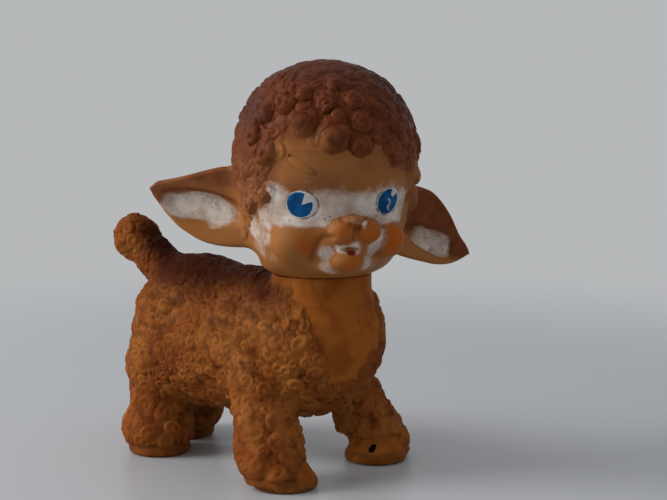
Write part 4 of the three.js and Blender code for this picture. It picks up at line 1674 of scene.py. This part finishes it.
@dataclass
class LambHead:
    """The head moulding: skull, face, hair and ears, in the head's own millimetres with the face towards -y."""

    quad_size: float = 0.9
    room_low: Triple = (-78.0, -56.0, -8.0)
    room_high: Triple = (78.0, 36.0, 93.0)
    hair_seed: int = 5
    turn_deg: float = -35.0
    seat_gap: float = 0.3
    forward: float = 6.0
    skull_heights: tuple[float, ...] = (0.0, 2.5, 6.5, 13.0, 21.0, 31.0, 42.0, 53.0)
    skull_radii: tuple[float, ...] = (22.0, 25.8, 28.3, 31.2, 33.5, 35.3, 36.3, 35.6)
    cranium_lift: float = 52.6
    cranium_radii: Triple = (37.9, 37.9, 37.6)
    cranium_fillet: float = 6.0
    right_cheek_fillet: float = 6.0
    left_cheek_fillet: float = 3.0
    snout_fillet: float = 5.0
    chin_fillet: float = 4.0
    lip_fillet: float = 1.6
    muzzle_fillet: float = 0.6
    nose_fillet: float = 0.45
    mouth_fillet: float = 0.8
    throat_fillet: float = 0.5
    ear_fillet: float = 4.0
    lock_fillet: float = 0.6
    ear_clear_radius: float = 36.0
    right_cheek: Ball = Ball((-18.4, -28.4, 16.6), (9.6, 8.4, 8.0))
    left_cheek: Ball = Ball((19.2, -29.8, 17.0), (8.0, 8.8, 8.2))
    snout: Ball = Ball((2.2, -30.6, 19.0), (13.4, 13.6, 10.6))
    chin: Ball = Ball((0.5, -31.0, 7.6), (12.5, 10.0, 5.2))
    muzzle: Ball = Ball((5.3, -42.0, 22.2), (5.9, 5.8, 5.3))
    muzzle_aside: float = 2.8
    nose: Ball = Ball((2.0, -43.6, 26.2), (5.8, 4.9, 2.5))
    lip: Ball = Ball((0.2, -39.4, 9.8), (6.8, 5.8, 4.0))
    mouth_ring: Ball = Ball((0.9, -41.4, 13.8), (4.8, 2.4, 2.2))
    mouth: Ball = Ball((0.6, -43.9, 14.6), (4.4, 2.6, 1.1))
    throat: Ball = Ball((1.1, -44.2, 14.0), (1.9, 2.4, 1.5))
    plug_radius: float = 11.65
    plug_foot: float = -6.2
    plug_flange_radius: float = 14.8
    plug_flange_over: float = -3.6
    plug_flange_edge: float = 0.6
    plug_top: float = 2.0
    plug_edge: float = 0.4
    right_ear: EarLeaf = EarLeaf(
        side=Side.RIGHT,
        root=(-31.5, -3.0, 27.0),
        lift_deg=11.0,
        sweep_deg=30.0,
        stations=(-6.0, 0.0, 8.0, 15.0, 20.0, 25.0, 30.0, 34.0, 38.0, 41.0, 44.0, 45.4),
        upper=(16.0, 16.6, 16.9, 16.2, 14.2, 11.8, 9.3, 7.5, 5.8, 4.6, 2.9, 1.2),
        lower=(14.7, 15.8, 17.1, 17.4, 16.8, 15.2, 13.2, 10.7, 7.9, 5.4, 2.9, 1.2),
    )
    left_ear: EarLeaf = EarLeaf(
        side=Side.LEFT,
        root=(31.5, -3.0, 25.2),
        lift_deg=-27.0,
        sweep_deg=24.0,
        stations=(-6.0, 0.0, 8.0, 15.0, 20.0, 25.0, 30.0, 34.0, 38.0, 41.0, 43.5, 45.0, 46.6, 47.8),
        upper=(12.5, 13.3, 15.0, 15.6, 14.5, 12.7, 10.3, 7.8, 5.6, 4.4, 3.6, 3.0, 2.2, 1.2),
        lower=(16.4, 16.8, 16.6, 15.6, 14.6, 13.5, 12.4, 11.0, 9.2, 7.4, 5.4, 4.0, 2.4, 1.2),
        dish_middle=(25.0, -3.6),
        dish_reach=(17.0, 5.6),
        lining_from=13.0,
        coat=0.62,
    )
    hair_azimuths: tuple[float, ...] = (
        -180.0, -120.0, -95.0, -75.0, -62.0, -56.0, -51.0, -47.0, -43.0, -35.0, -22.0, -12.0, 0.0,
        10.0, 20.0, 26.0, 34.0, 42.0, 50.0, 56.0, 65.0, 75.0, 95.0, 120.0, 180.0,
    )
    hair_heights: tuple[float, ...] = (
        6.0, 8.0, 14.0, 27.0, 32.0, 38.0, 46.0, 54.0, 62.0, 64.5, 63.0, 58.0, 55.0,
        56.0, 56.0, 52.0, 50.0, 46.0, 40.0, 36.0, 30.0, 26.0, 14.0, 8.0, 6.0,
    )
    scalp: CurlStyle = CurlStyle(4.2, 0.25, 1.7, 0.66, 1.0, 1.5, 0.15)
    between: CurlStyle = CurlStyle(2.6, 0.2, 0.8, 0.75, 0.8, 1.35, 0.2)
    hair_margin: float = 2.4
    wool_full: float = 1.6
    wool_floor: float = 5.0
    crown_heights: tuple[float, float] = (80.0, 89.0)
    crown_flatten: float = 0.62
    right_eye: PaintedEye = PaintedEye(
        middle=(-18.0, -37.0, 32.9),
        facing=(-0.49, -0.84, -0.21),
        iris_offset=(-1.0, 0.0),
        glint_deg=(18.0, 70.0),
        glint_start=0.0,
        glint_apex=(0.9, 0.0),
    )
    left_eye: PaintedEye = PaintedEye(
        middle=(18.6, -36.8, 33.4),
        facing=(0.51, -0.84, -0.21),
        iris_offset=(-0.6, 0.0),
        glint_deg=(38.0, 76.0),
        glint_start=2.8,
    )
    right_brow: tuple[Triple, Triple] = ((-22.9, -36.6, 51.4), (-13.7, -41.5, 45.9))
    left_brow: tuple[Triple, Triple] = ((15.9, -40.7, 48.6), (23.7, -36.0, 51.4))
    locks: tuple[Lock, ...] = (
        Lock((-6.6, -42.0, 60.0), 6.8, 5.2, 0.8, Winding.COUNTER, 0.2, 0.15),
        Lock((-17.6, -36.8, 65.6), 6.2, 4.2, 0.9, Winding.CLOCKWISE, 0.4, 0.2),
        Lock((-7.8, -37.2, 72.8), 4.4, 2.5, 1.4, Winding.COUNTER, 0.1, 0.9),
        Lock((-3.4, -40.8, 67.6), 2.8, 2.7, 1.1, Winding.CLOCKWISE, 0.6),
        Lock((5.1, -41.6, 65.0), 4.3, 3.4, 1.1, Winding.CLOCKWISE, 0.1),
        Lock((4.4, -43.0, 56.6), 4.8, 4.2, 0.8, Winding.COUNTER, 0.7, 0.15),
        Lock((13.8, -40.4, 60.6), 4.5, 2.5, 1.1, Winding.COUNTER, 0.3, 0.25),
        Lock((20.0, -38.2, 50.4), 3.7, 2.1, 1.0, Winding.CLOCKWISE, 0.9, 0.15),
        Lock((-22.4, -29.0, 73.0), 4.6, 3.0, 1.2, Winding.COUNTER, 0.3),
        Lock((-15.4, -31.2, 76.4), 3.2, 2.5, 1.3, Winding.CLOCKWISE, 0.8),
        Lock((-3.0, -31.4, 80.6), 3.0, 2.2, 1.3, Winding.COUNTER, 0.5, 0.8),
        Lock((3.9, -37.2, 74.0), 3.8, 2.8, 1.2, Winding.CLOCKWISE, 0.2),
        Lock((-29.6, -23.6, 68.4), 4.0, 2.8, 1.2, Winding.COUNTER, 0.7),
        Lock((-34.2, -20.7, 60.4), 4.3, 3.0, 1.1, Winding.CLOCKWISE, 0.1),
        Lock((-30.4, -28.8, 53.4), 4.8, 3.7, 1.0, Winding.COUNTER, 0.6),
        Lock((-35.2, -17.2, 45.4), 4.3, 3.3, 1.1, Winding.CLOCKWISE, 0.2),
        Lock((-30.2, -25.4, 36.0), 3.1, 3.0, 0.9, Winding.COUNTER, 0.8),
        Lock((-34.1, -15.8, 31.6), 3.8, 3.0, 1.1, Winding.CLOCKWISE, 0.5),
        Lock((25.2, -34.0, 57.0), 4.0, 2.0, 1.1, Winding.CLOCKWISE, 0.4),
        Lock((21.1, -35.3, 64.3), 4.0, 2.0, 1.2, Winding.COUNTER, 0.8),
        Lock((13.8, -36.8, 70.0), 4.0, 2.9, 1.2, Winding.CLOCKWISE, 0.5),
        Lock((27.6, -31.6, 47.8), 3.5, 2.2, 1.0, Winding.COUNTER, 0.3),
        Lock((34.2, -20.7, 55.0), 4.3, 3.0, 1.1, Winding.COUNTER, 0.1),
        Lock((33.4, -22.4, 42.6), 4.2, 3.1, 1.1, Winding.COUNTER, 0.2),
        Lock((30.4, -26.0, 35.4), 3.2, 2.9, 0.9, Winding.CLOCKWISE, 0.8),
        Lock((34.1, -15.8, 30.6), 4.0, 3.1, 1.1, Winding.COUNTER, 0.5),
    )
    creases: tuple[Crease, ...] = (
        Crease(1.3, 0.9, ((-7.6, 19.8), (-9.6, 19.6), (-11.6, 17.6), (-13.0, 13.8), (-13.4, 10.2))),
        Crease(1.3, 0.9, ((15.4, 24.0), (15.6, 18.0), (14.2, 11.5))),
        Crease(0.7, 0.7, ((-3.2, 27.2), (-0.8, 25.4), (1.6, 24.8), (1.7, 22.3), (1.6, 18.6))),
        Crease(0.7, 0.7, ((6.6, 27.6), (4.6, 25.2), (2.2, 23.0))),
    )
    face_front: float = -30.0
    nose_streak: Limb = Limb((3.6, -47.8, 22.6), (6.8, -47.0, 26.6), 0.4, 0.4)
    brow_pit: Triple = (-22.9, -36.6, 53.0)
    brow_pit_radius: float = 0.9
    band_foot: tuple[float, float] = (22.0, 25.5)
    band_top: tuple[float, float] = (43.5, 34.0)
    band_right_deg: tuple[float, float] = (-66.0, -46.0)
    band_left_deg: tuple[float, float] = (56.0, 44.0)
    eye_scratch: tuple[tuple[float, float], ...] = ((-0.9, 0.9), (0.3, 0.5), (0.6, -0.8), (-0.5, -2.2), (0.4, -3.6))
    white_spots: tuple[tuple[Triple, float, float], ...] = (
        ((16.5, -40.0, 19.0), 5.5, 1.1),
        ((14.0, -41.0, 13.5), 6.5, 1.15),
        ((11.0, -41.0, 8.0), 5.8, 1.0),
        ((2.0, -46.0, 14.5), 5.0, 1.0),
        ((-4.0, -44.5, 14.8), 5.0, 0.85),
        ((-9.0, -42.0, 12.0), 5.0, 0.75),
        ((-8.0, -39.0, 6.5), 6.0, 0.55),
        ((-7.6, -38.0, 12.8), 5.0, 0.7),
        ((-31.5, -14.0, 13.0), 7.0, 0.5),
        ((-33.0, -13.0, 22.0), 7.5, 0.8),
        ((-29.0, -22.0, 26.0), 7.0, 0.6),
        ((-29.5, -21.0, 18.0), 6.0, 0.5),
        ((-28.5, -20.0, 9.0), 5.5, 0.3),
    )
    rouge_spots: tuple[tuple[Triple, float, float], ...] = (
        ((-15.2, -38.8, 16.4), 6.5, 1.0),
        ((21.0, -36.0, 17.0), 8.5, 1.0),
        ((-2.2, -48.0, 20.5), 6.5, 0.8),
        ((7.6, -48.0, 20.5), 6.5, 0.9),
        ((1.5, -44.0, 8.5), 6.5, 0.7),
    )

    def facing(self, place: Triple) -> np.ndarray:
        """Gives the outward direction of the skull at a place on it."""
        out = np.array(place) - (0.0, -self.forward, min(place[2], self.cranium_lift))
        return out / np.linalg.norm(out)

    def muzzles(self) -> list[Ball]:
        """Gives both lobes of the muzzle."""
        x, y, z = self.muzzle.centre
        return [Ball((self.muzzle_aside + side.value * x, y, z), self.muzzle.radii) for side in Side]

    def lobe(self, lock: Lock) -> Limb:
        """Gives the raised lobe of a lock of hair, which swells out of the scalp and ends in a round drop.

        Args:
            lock: The lock.

        Returns:
            The lobe, from its root to its drop.
        """
        out = self.facing(lock.place)
        up = np.array([0.0, 0.0, 1.0]) - out * out[2]
        up /= np.linalg.norm(up)
        drop = np.array(lock.place) - out * (lock.radius - lock.rise)
        root = np.array(lock.place) + up * lock.radius * 1.1 - out * lock.radius * 0.8
        return Limb(tuple(root), tuple(drop), lock.radius * 0.8, lock.radius)

    def shape(self) -> Sculpture:
        """Joins the forms of the head.

        Returns:
            The sculpture without its scattered curls.
        """
        s = Sculpture()
        back = tuple(-self.forward * smooth_step(0.0, 6.5, np.array(h)).item() for h in self.skull_heights)
        s.add(Turned(self.skull_heights, self.skull_radii, (0.0,) * len(back), back))
        s.add(Ball((0.0, -self.forward, self.cranium_lift), self.cranium_radii), self.cranium_fillet)
        s.add(self.right_cheek, self.right_cheek_fillet)
        s.add(self.left_cheek, self.left_cheek_fillet)
        s.add(self.snout, self.snout_fillet)
        s.add(self.chin, self.chin_fillet)
        s.add(self.lip, self.lip_fillet)
        for muzzle in self.muzzles():
            s.add(muzzle, self.muzzle_fillet)
        s.add(self.nose, self.nose_fillet)
        s.add(self.mouth_ring, self.lip_fillet)
        s.cut(self.mouth, self.mouth_fillet)
        s.cut(self.throat, self.throat_fillet)
        s.add(self.right_ear, self.ear_fillet)
        s.add(self.left_ear, self.ear_fillet)
        for lock in self.locks:
            s.add(self.lobe(lock), self.lock_fillet)
        s.add(Disc((0.0, 0.0), self.plug_foot, self.plug_top, self.plug_radius, self.plug_edge))
        flange_over, flange_radius = self.plug_flange_over, self.plug_flange_radius
        s.add(Disc((0.0, 0.0), self.plug_foot, flange_over, flange_radius, self.plug_flange_edge))
        return s

    def azimuth(self, p: np.ndarray) -> np.ndarray:
        """Gives the angle round the head in degrees, 0 in front and positive to the lamb's left."""
        return np.degrees(np.arctan2(p[:, 0], -(p[:, 1] + self.forward)))

    def ear_share(self, p: np.ndarray) -> np.ndarray:
        """Gives 1 on the ears, clear of the head.

        Args:
            p: Points of the skin.

        Returns:
            Shares from 0 to 1.
        """
        near = np.minimum(self.right_ear.distance(p), self.left_ear.distance(p))
        off_head = np.hypot(p[:, 0], p[:, 1] + self.forward) - self.ear_clear_radius
        return smooth_step(2.0, 0.6, near) * smooth_step(-2.0, 1.0, off_head)

    def ear_lining(self, p: np.ndarray) -> np.ndarray:
        """Gives 1 inside the dish of each ear.

        Args:
            p: Points of the skin.

        Returns:
            Shares from 0 to 1.
        """
        lining = np.zeros(len(p))
        for ear in (self.right_ear, self.left_ear):
            q = ear.local(p)
            inner = smooth_step(1.12, 0.72, ear.dish(q[:, 0], q[:, 1]) + 0.3 * (cloud(p, 3.0) - 0.5))
            front = q[:, 2] > ear.mid_surface(q[:, 0], q[:, 1]) - ear.half_thickness
            facing = smooth_step(-ear.half_thickness, 0.5, q[:, 2] - ear.mid_surface(q[:, 0], q[:, 1]) + 1.5)
            fade = smooth_step(ear.lining_from, ear.lining_from + 9.0, q[:, 0] - 0.5 * q[:, 1])
            lining = np.maximum(lining, inner * front * facing * fade * (ear.distance(p) < 1.0))
        return lining

    def hair(self, p: np.ndarray) -> np.ndarray:
        """Gives where the hair is.

        Args:
            p: Points of the skin.

        Returns:
            1 on the hair, 0 on the face, the ears and the underside.
        """
        azimuth = self.azimuth(p)
        line = np.interp(azimuth, self.hair_azimuths, self.hair_heights)
        line = line + 0.8 * np.sin(azimuth * 0.42) + 0.5 * np.sin(azimuth * 0.9 + p[:, 0])
        hair = smooth_step(-0.9, 0.9, p[:, 2] - line)
        for lock in self.locks:
            hair = np.maximum(hair, smooth_step(0.7, 0.1, self.lobe(lock).distance(p)))
        return hair * (1.0 - self.ear_share(p)) * smooth_step(2.0, 4.0, p[:, 2])

    def spots(self, p: np.ndarray, spots: Sequence[tuple[Triple, float, float]]) -> np.ndarray:
        """Adds up soft round spots.

        Args:
            p: Points of the skin.
            spots: Middle, radius and strength of each.

        Returns:
            The strength at each point.
        """
        total = np.zeros(len(p))
        for middle, radius, strength in spots:
            out = np.linalg.norm(p - np.array(middle), axis=1) / radius
            total = np.maximum(total, strength * smooth_step(1.15, 0.45, out))
        return total

    def white(self, p: np.ndarray) -> np.ndarray:
        """Gives how thickly the white paint lies.

        Args:
            p: Points of the skin.

        Returns:
            0 for bare rubber, about 1 for full paint.
        """
        azimuth = self.azimuth(p)
        worn_height = p[:, 2] + 3.0 * (cloud(p, 5.0) - 0.5)
        band = smooth_step(*self.band_foot, p[:, 2]) * smooth_step(*self.band_top, worn_height)
        band *= smooth_step(*self.band_right_deg, azimuth) * smooth_step(*self.band_left_deg, azimuth)
        total = np.maximum(1.15 * band, self.spots(p, self.white_spots))
        for form in (self.right_cheek, self.left_cheek, *self.muzzles(), self.nose, self.lip):
            total *= smooth_step(-0.4, 1.4, form.distance(p))
        total = np.maximum(total, 0.9 * smooth_step(1.0, 0.1, self.nose_streak.distance(p)))
        total *= 1.0 - self.hair(p)
        return np.maximum(total, 0.86 * self.ear_lining(p))

    def spray_and_shade(self, p: np.ndarray) -> np.ndarray:
        """Gives how much brown lies on the head: sprayed on from above, with painted shade on the lamb's left side
        and a painted shadow under the rim of each ear.

        Args:
            p: Points of the skin.

        Returns:
            0 for bare rubber, 1 for brown, more on the crown.
        """
        total = smooth_step(46.0, 74.0, p[:, 2]) * 0.85 + 0.4 * smooth_step(72.0, 88.0, p[:, 2])
        # Darker on the lamb's left side, which is painted shade, low on its right side, and towards the back of the
        # head.
        total += 0.5 * smooth_step(6.0, 34.0, p[:, 0]) * smooth_step(34.0, 56.0, p[:, 2])
        total += 0.5 * smooth_step(-24.0, -34.0, p[:, 0]) * smooth_step(30.0, 46.0, p[:, 2])
        total += 0.5 * smooth_step(-8.0, 12.0, p[:, 1]) * smooth_step(20.0, 44.0, p[:, 2])
        # Painted shade: the hair on the lamb's left half is darker.
        low_hair = self.hair(p) * smooth_step(-26.0, -2.0, p[:, 0]) * smooth_step(40.0, 50.0, p[:, 2])
        total = np.maximum(total, 0.6 * low_hair)
        for ear in (self.right_ear, self.left_ear):
            q = ear.local(p)
            above = smooth_step(5.0, 9.0, q[:, 1] + 2.0 * (cloud(p, 4.0) - 0.5))
            tip = smooth_step(ear.stations[-1] - 11.0, ear.stations[-1] - 1.0, q[:, 0])
            behind = smooth_step(0.5, -2.0, q[:, 2] - ear.mid_surface(q[:, 0], q[:, 1]))
            over = q[:, 1] - ear.dish_middle[1]
            # Painted shadow under the upper rim of each ear.
            fold = np.exp(-(((ear.dish(q[:, 0], q[:, 1]) - 1.12) / 0.14) ** 2)) * smooth_step(0.0, 4.0, over)
            rim = smooth_step(-9.0, -3.0, q[:, 1])
            coat = np.maximum.reduce([0.38 * above, 0.5 * tip, 0.75 * behind, 0.6 * fold, ear.coat * rim])
            share = smooth_step(2.0, 0.6, ear.distance(p)) * smooth_step(2.0, 9.0, q[:, 0])
            total = total * (1.0 - share) + coat * share
        return total

    def squiggle(self, p: np.ndarray) -> np.ndarray:
        """Gives 1 along the fine scratch in the left eye."""
        near = from_line(np.stack(self.left_eye.flat(p), axis=1), self.eye_scratch)
        return smooth_step(0.45, 0.15, near)

    def brow(self, p: np.ndarray, ends: tuple[Triple, Triple]) -> np.ndarray:
        """Gives how far one brow stands out, with a fine groove round it.

        Args:
            p: Points of the skin.
            ends: Both ends of the brow.

        Returns:
            Rises in millimetres.
        """
        t, way = from_segment(p, *ends)
        off = np.linalg.norm(way, axis=1)
        width = 0.4 + 1.7 * np.sin(math.pi * np.clip(t, 0.02, 0.98)) ** 0.7
        return 0.75 * smooth_step(1.0, 0.3, off / width) - 0.25 * np.exp(-(((off - width - 0.2) / 0.45) ** 2))

    def crease(self, p: np.ndarray) -> np.ndarray:
        """Gives how deep the creases of the face are."""
        return np.max([fold.depth_at(p) for fold in self.creases], axis=0) * (p[:, 1] < self.face_front)

    def build(self, place: Matrix) -> bpy.types.Object:
        """Builds and dresses the head.

        Args:
            place: From the head's millimetres to the row frame.

        Returns:
            The finished piece.
        """
        shape = self.shape()
        skin = Skin.sculpted(shape, self.room_low, self.room_high, self.quad_size)
        n = skin.normals_on(shape)
        p = skin.points.copy()
        hair = self.hair(p)
        fleece = Fleece(p, n, self.hair_seed)
        for lock in self.locks:
            out = self.facing(lock.place)
            top = np.array(lock.place) + out * lock.rise
            curl = Curl(top, out, lock.radius * 0.85, lock.swirl, 0.0, lock.turns, lock.winding, lock.spin)
            fleece.press(curl, lock.radius * 1.15)
        curly = (self.hair(p - (0.0, 0.0, self.hair_margin)) > 0.5) & (p[:, 2] > self.wool_floor) & ~fleece.taken
        count = fleece.scatter(curly, self.scalp)
        count += fleece.scatter(curly, self.between)
        LOG.info("head curls: %d", count + len(self.locks))
        eye = np.minimum(self.right_eye.oval_distance(p), self.left_eye.oval_distance(p))
        iris = np.minimum(self.right_eye.iris_distance(p), self.left_eye.iris_distance(p))
        flatten = self.crown_flatten * smooth_step(*self.crown_heights, p[:, 2])
        rise = fleece.height * (1.0 - flatten) * (1.0 - self.ear_share(p))
        rise += 0.35 * smooth_step(0.5, -1.5, eye) - 0.22 * np.exp(-(((eye - 0.3) / 0.4) ** 2))
        rise += (1.0 - hair) * (self.brow(p, self.right_brow) + self.brow(p, self.left_brow)) - self.crease(p)
        skin.points = p + n * rise[:, None]
        hole = smooth_step(0.5, 0.0, self.throat.distance(p))
        pit = smooth_step(self.brow_pit_radius, 0.4, np.linalg.norm(p - np.array(self.brow_pit), axis=1))
        marks = {
            "wool": fleece.height / self.wool_full,
            "hair": hair * smooth_step(0.02, 0.2, fleece.height),
            "spray_and_shade": self.spray_and_shade(p),
            # A painted glow, lighter towards the bottom of the face.
            "glow": smooth_step(34.0, 18.0, p[:, 2]) * (1.0 - hair),
            "white": self.white(p),
            "lining": self.ear_lining(p),
            "rouge": self.spots(p, self.rouge_spots),
            "eye": np.clip(eye, -9.0, 9.0),
            "iris": np.clip(iris, -9.0, 9.0),
            "scratch": self.squiggle(p),
            # Painted shade in the creases.
            "fold": self.crease(p) / max(fold.depth for fold in self.creases),
            "mouth": hole,
            "pit": pit,
        }
        piece = skin.to_object("lamb_head", place, marks)
        piece.data.materials.append(HeadRubber().material())
        return piece


@dataclass
class Whistle:
    """The whistle in the belly: cup, plate, reed, rivet and cap, kept as the solids that the frame brings."""

    tin: Metal = Metal("whistle_tin", tint(176, 174, 168), tint(122, 116, 106), 0.38)
    brass: Metal = Metal("whistle_brass", tint(198, 160, 84), tint(138, 98, 48), 0.32)
    tin_nodes: tuple[str, ...] = ("whistle_cup", "reed_plate", "whistle_cap")
    brass_nodes: tuple[str, ...] = ("reed", "reed_rivet")

    def build(self) -> list[str]:
        """Dresses the solids.

        Returns:
            Their names.
        """
        for metal, names in ((self.tin, self.tin_nodes), (self.brass, self.brass_nodes)):
            finish = metal.material()
            for name in names:
                solid = frame["nodes"][name]
                if not solid.material_slots:
                    solid.data.materials.append(finish)
                for slot in solid.material_slots:
                    slot.material = finish
        return [*self.tin_nodes, *self.brass_nodes]


# Studio


@dataclass(frozen=True)
class Lamp:
    """A soft square lamp: its place along the camera's directions from the lamb in metres, and its watts."""

    name: str
    side: float
    high: float
    back: float
    size: float
    power: float


@dataclass
class Studio:
    """Camera, floor and lamps."""

    azimuth_deg: float = -50.0
    pitch_deg: float = 7.5
    focal_px: float = 1800.0
    distance: float = 0.774
    neck_pixel: tuple[float, float] = (322.0, 271.5)
    sensor: float = 36.0
    floor_tint: Colour = tint(186, 188, 190)
    background: Colour = tint(182, 184, 186)
    floor_reach: float = 40.0
    fade_start: float = 0.24
    fade_end: float = 0.62
    floor_roughness: float = 0.34
    floor_specular: float = 0.3
    floor_drop: float = 0.0002
    lamp_aim: Triple = (0.0, 0.0, 0.09)
    key: Lamp = Lamp("key", side=-1.3, high=0.62, back=0.16, size=0.8, power=18.5)
    fill: Lamp = Lamp("fill", side=0.9, high=0.45, back=0.7, size=0.9, power=0.5)
    sky_tint: Colour = tint(222, 224, 228)
    sky_level: float = 0.54

    def directions(self) -> tuple[Vector, Vector, Vector]:
        """Gives the camera's right, up and backward directions.

        Returns:
            The three directions.
        """
        a, e = math.radians(self.azimuth_deg), math.radians(self.pitch_deg)
        back = Vector((math.sin(a) * math.cos(e), -math.cos(a) * math.cos(e), math.sin(e)))
        right = Vector((math.cos(a), math.sin(a), 0.0))
        return right, back.cross(right), back

    def camera_place(self, neck: Vector) -> Matrix:
        """Places the camera so that the neck falls on its pixel.

        Args:
            neck: Middle of the neck's seam in the row frame.

        Returns:
            The camera's matrix.
        """
        right, up, back = self.directions()
        u = (self.neck_pixel[0] - IMAGE_WIDTH / 2) / self.focal_px
        v = (IMAGE_HEIGHT / 2 - self.neck_pixel[1]) / self.focal_px
        spot = neck + self.distance * (back - u * right - v * up)
        turn = Matrix((right, up, back)).transposed().to_4x4()
        return Matrix.Translation(spot) @ turn

    def build(self, neck: Vector) -> None:
        """Builds the studio.

        Args:
            neck: Middle of the neck's seam in the row frame.
        """
        data = bpy.data.cameras.new("camera")
        data.sensor_width = self.sensor
        data.sensor_fit = "HORIZONTAL"
        data.lens = self.sensor * self.focal_px / IMAGE_WIDTH
        data.clip_start = 0.01
        camera = bpy.data.objects.new("camera", data)
        bpy.context.scene.collection.objects.link(camera)
        camera.matrix_world = self.camera_place(neck)
        bpy.context.scene.camera = camera
        bpy.context.scene.view_settings.view_transform = "Standard"
        self.floor()
        self.lamps()

    def seen(self, tree: bpy.types.NodeTree) -> bpy.types.NodeSocket:
        """Gives 1 for rays that show the surroundings and 0 for rays that light the lamb.

        Args:
            tree: Nodes of the floor or the surroundings.

        Returns:
            The share.
        """
        path = tree.nodes.new("ShaderNodeLightPath")
        share = path.outputs["Is Camera Ray"]
        for name in ("Is Glossy Ray", "Is Transmission Ray"):
            node = tree.nodes.new("ShaderNodeMath")
            node.operation = "MAXIMUM"
            tree.links.new(share, node.inputs[0])
            tree.links.new(path.outputs[name], node.inputs[1])
            share = node.outputs[0]
        return share

    def floor(self) -> None:
        """Lays a large pale floor that passes into the plain background away from the lamb."""
        s = Shades("floor")
        s.set("Base Color", self.floor_tint)
        s.set("Roughness", self.floor_roughness)
        s.set("Specular IOR Level", self.floor_specular)
        nodes, links = s.tree.nodes, s.tree.links
        length = nodes.new("ShaderNodeVectorMath")
        length.operation = "LENGTH"
        links.new(s.place(), length.inputs[0])
        away = s.ease(length.outputs["Value"], self.fade_start, self.fade_end)
        glow = nodes.new("ShaderNodeEmission")
        glow.inputs["Color"].default_value = self.background
        mix = nodes.new("ShaderNodeMixShader")
        links.new(s.times(away, self.seen(s.tree)), mix.inputs[0])
        links.new(s.shader.outputs[0], mix.inputs[1])
        links.new(glow.outputs[0], mix.inputs[2])
        links.new(mix.outputs[0], nodes["Material Output"].inputs["Surface"])
        mesh = bpy.data.meshes.new("floor")
        r = self.floor_reach
        mesh.from_pydata([(-r, -r, 0), (r, -r, 0), (r, r, 0), (-r, r, 0)], [], [(0, 1, 2, 3)])
        mesh.materials.append(s.material)
        floor = bpy.data.objects.new("floor", mesh)
        floor.location.z = -self.floor_drop
        bpy.context.scene.collection.objects.link(floor)

    def lamps(self) -> None:
        """Sets the soft lamps and the pale surroundings."""
        right, _, back = self.directions()
        aim = Vector(self.lamp_aim)
        for lamp in (self.key, self.fill):
            data = bpy.data.lights.new(lamp.name, "AREA")
            data.size = lamp.size
            data.energy = lamp.power
            piece = bpy.data.objects.new(lamp.name, data)
            bpy.context.scene.collection.objects.link(piece)
            spot = aim + right * lamp.side + Vector((0, 0, lamp.high)) + back * lamp.back
            piece.matrix_world = Matrix.Translation(spot) @ (spot - aim).to_track_quat("Z", "Y").to_matrix().to_4x4()
        world = bpy.data.worlds.new("surroundings")
        bpy.context.scene.world = world
        world.use_nodes = True
        tree = world.node_tree
        light = tree.nodes["Background"]
        light.inputs["Color"].default_value = self.sky_tint
        light.inputs["Strength"].default_value = self.sky_level
        plain = tree.nodes.new("ShaderNodeBackground")
        plain.inputs["Color"].default_value = self.background
        mix = tree.nodes.new("ShaderNodeMixShader")
        tree.links.new(self.seen(tree), mix.inputs[0])
        tree.links.new(light.outputs[0], mix.inputs[1])
        tree.links.new(plain.outputs[0], mix.inputs[2])
        tree.links.new(mix.outputs[0], tree.nodes["World Output"].inputs["Surface"])


def main() -> None:
    """Builds the lamb piece by piece and sets up the studio."""
    logging.basicConfig(level=logging.INFO, format="%(message)s")
    neck = Vector(next(j for j in frame["joints"] if j["name"] == "head_turn")["pos_m"])
    lamb = Matrix.Translation((neck.x, neck.y, 0.0)) @ Matrix.Scale(MM, 4)
    body = LambBody().build(lamb)
    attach(body, "body")
    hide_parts("body_shell")
    LOG.info("%s: %d quads", body.name, len(body.data.polygons))
    head_form = LambHead()
    turn = Matrix.Rotation(math.radians(head_form.turn_deg), 4, "Z")
    seat = Matrix.Translation((neck.x, neck.y, neck.z + head_form.seat_gap * MM))
    head = head_form.build(seat @ turn @ Matrix.Scale(MM, 4))
    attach(head, "head")
    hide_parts("head_shell")
    LOG.info("%s: %d quads", head.name, len(head.data.polygons))
    for name in Whistle().build():
        LOG.info("%s: dressed", name)
    Studio().build(neck)


if __name__ == "__main__":
    main()
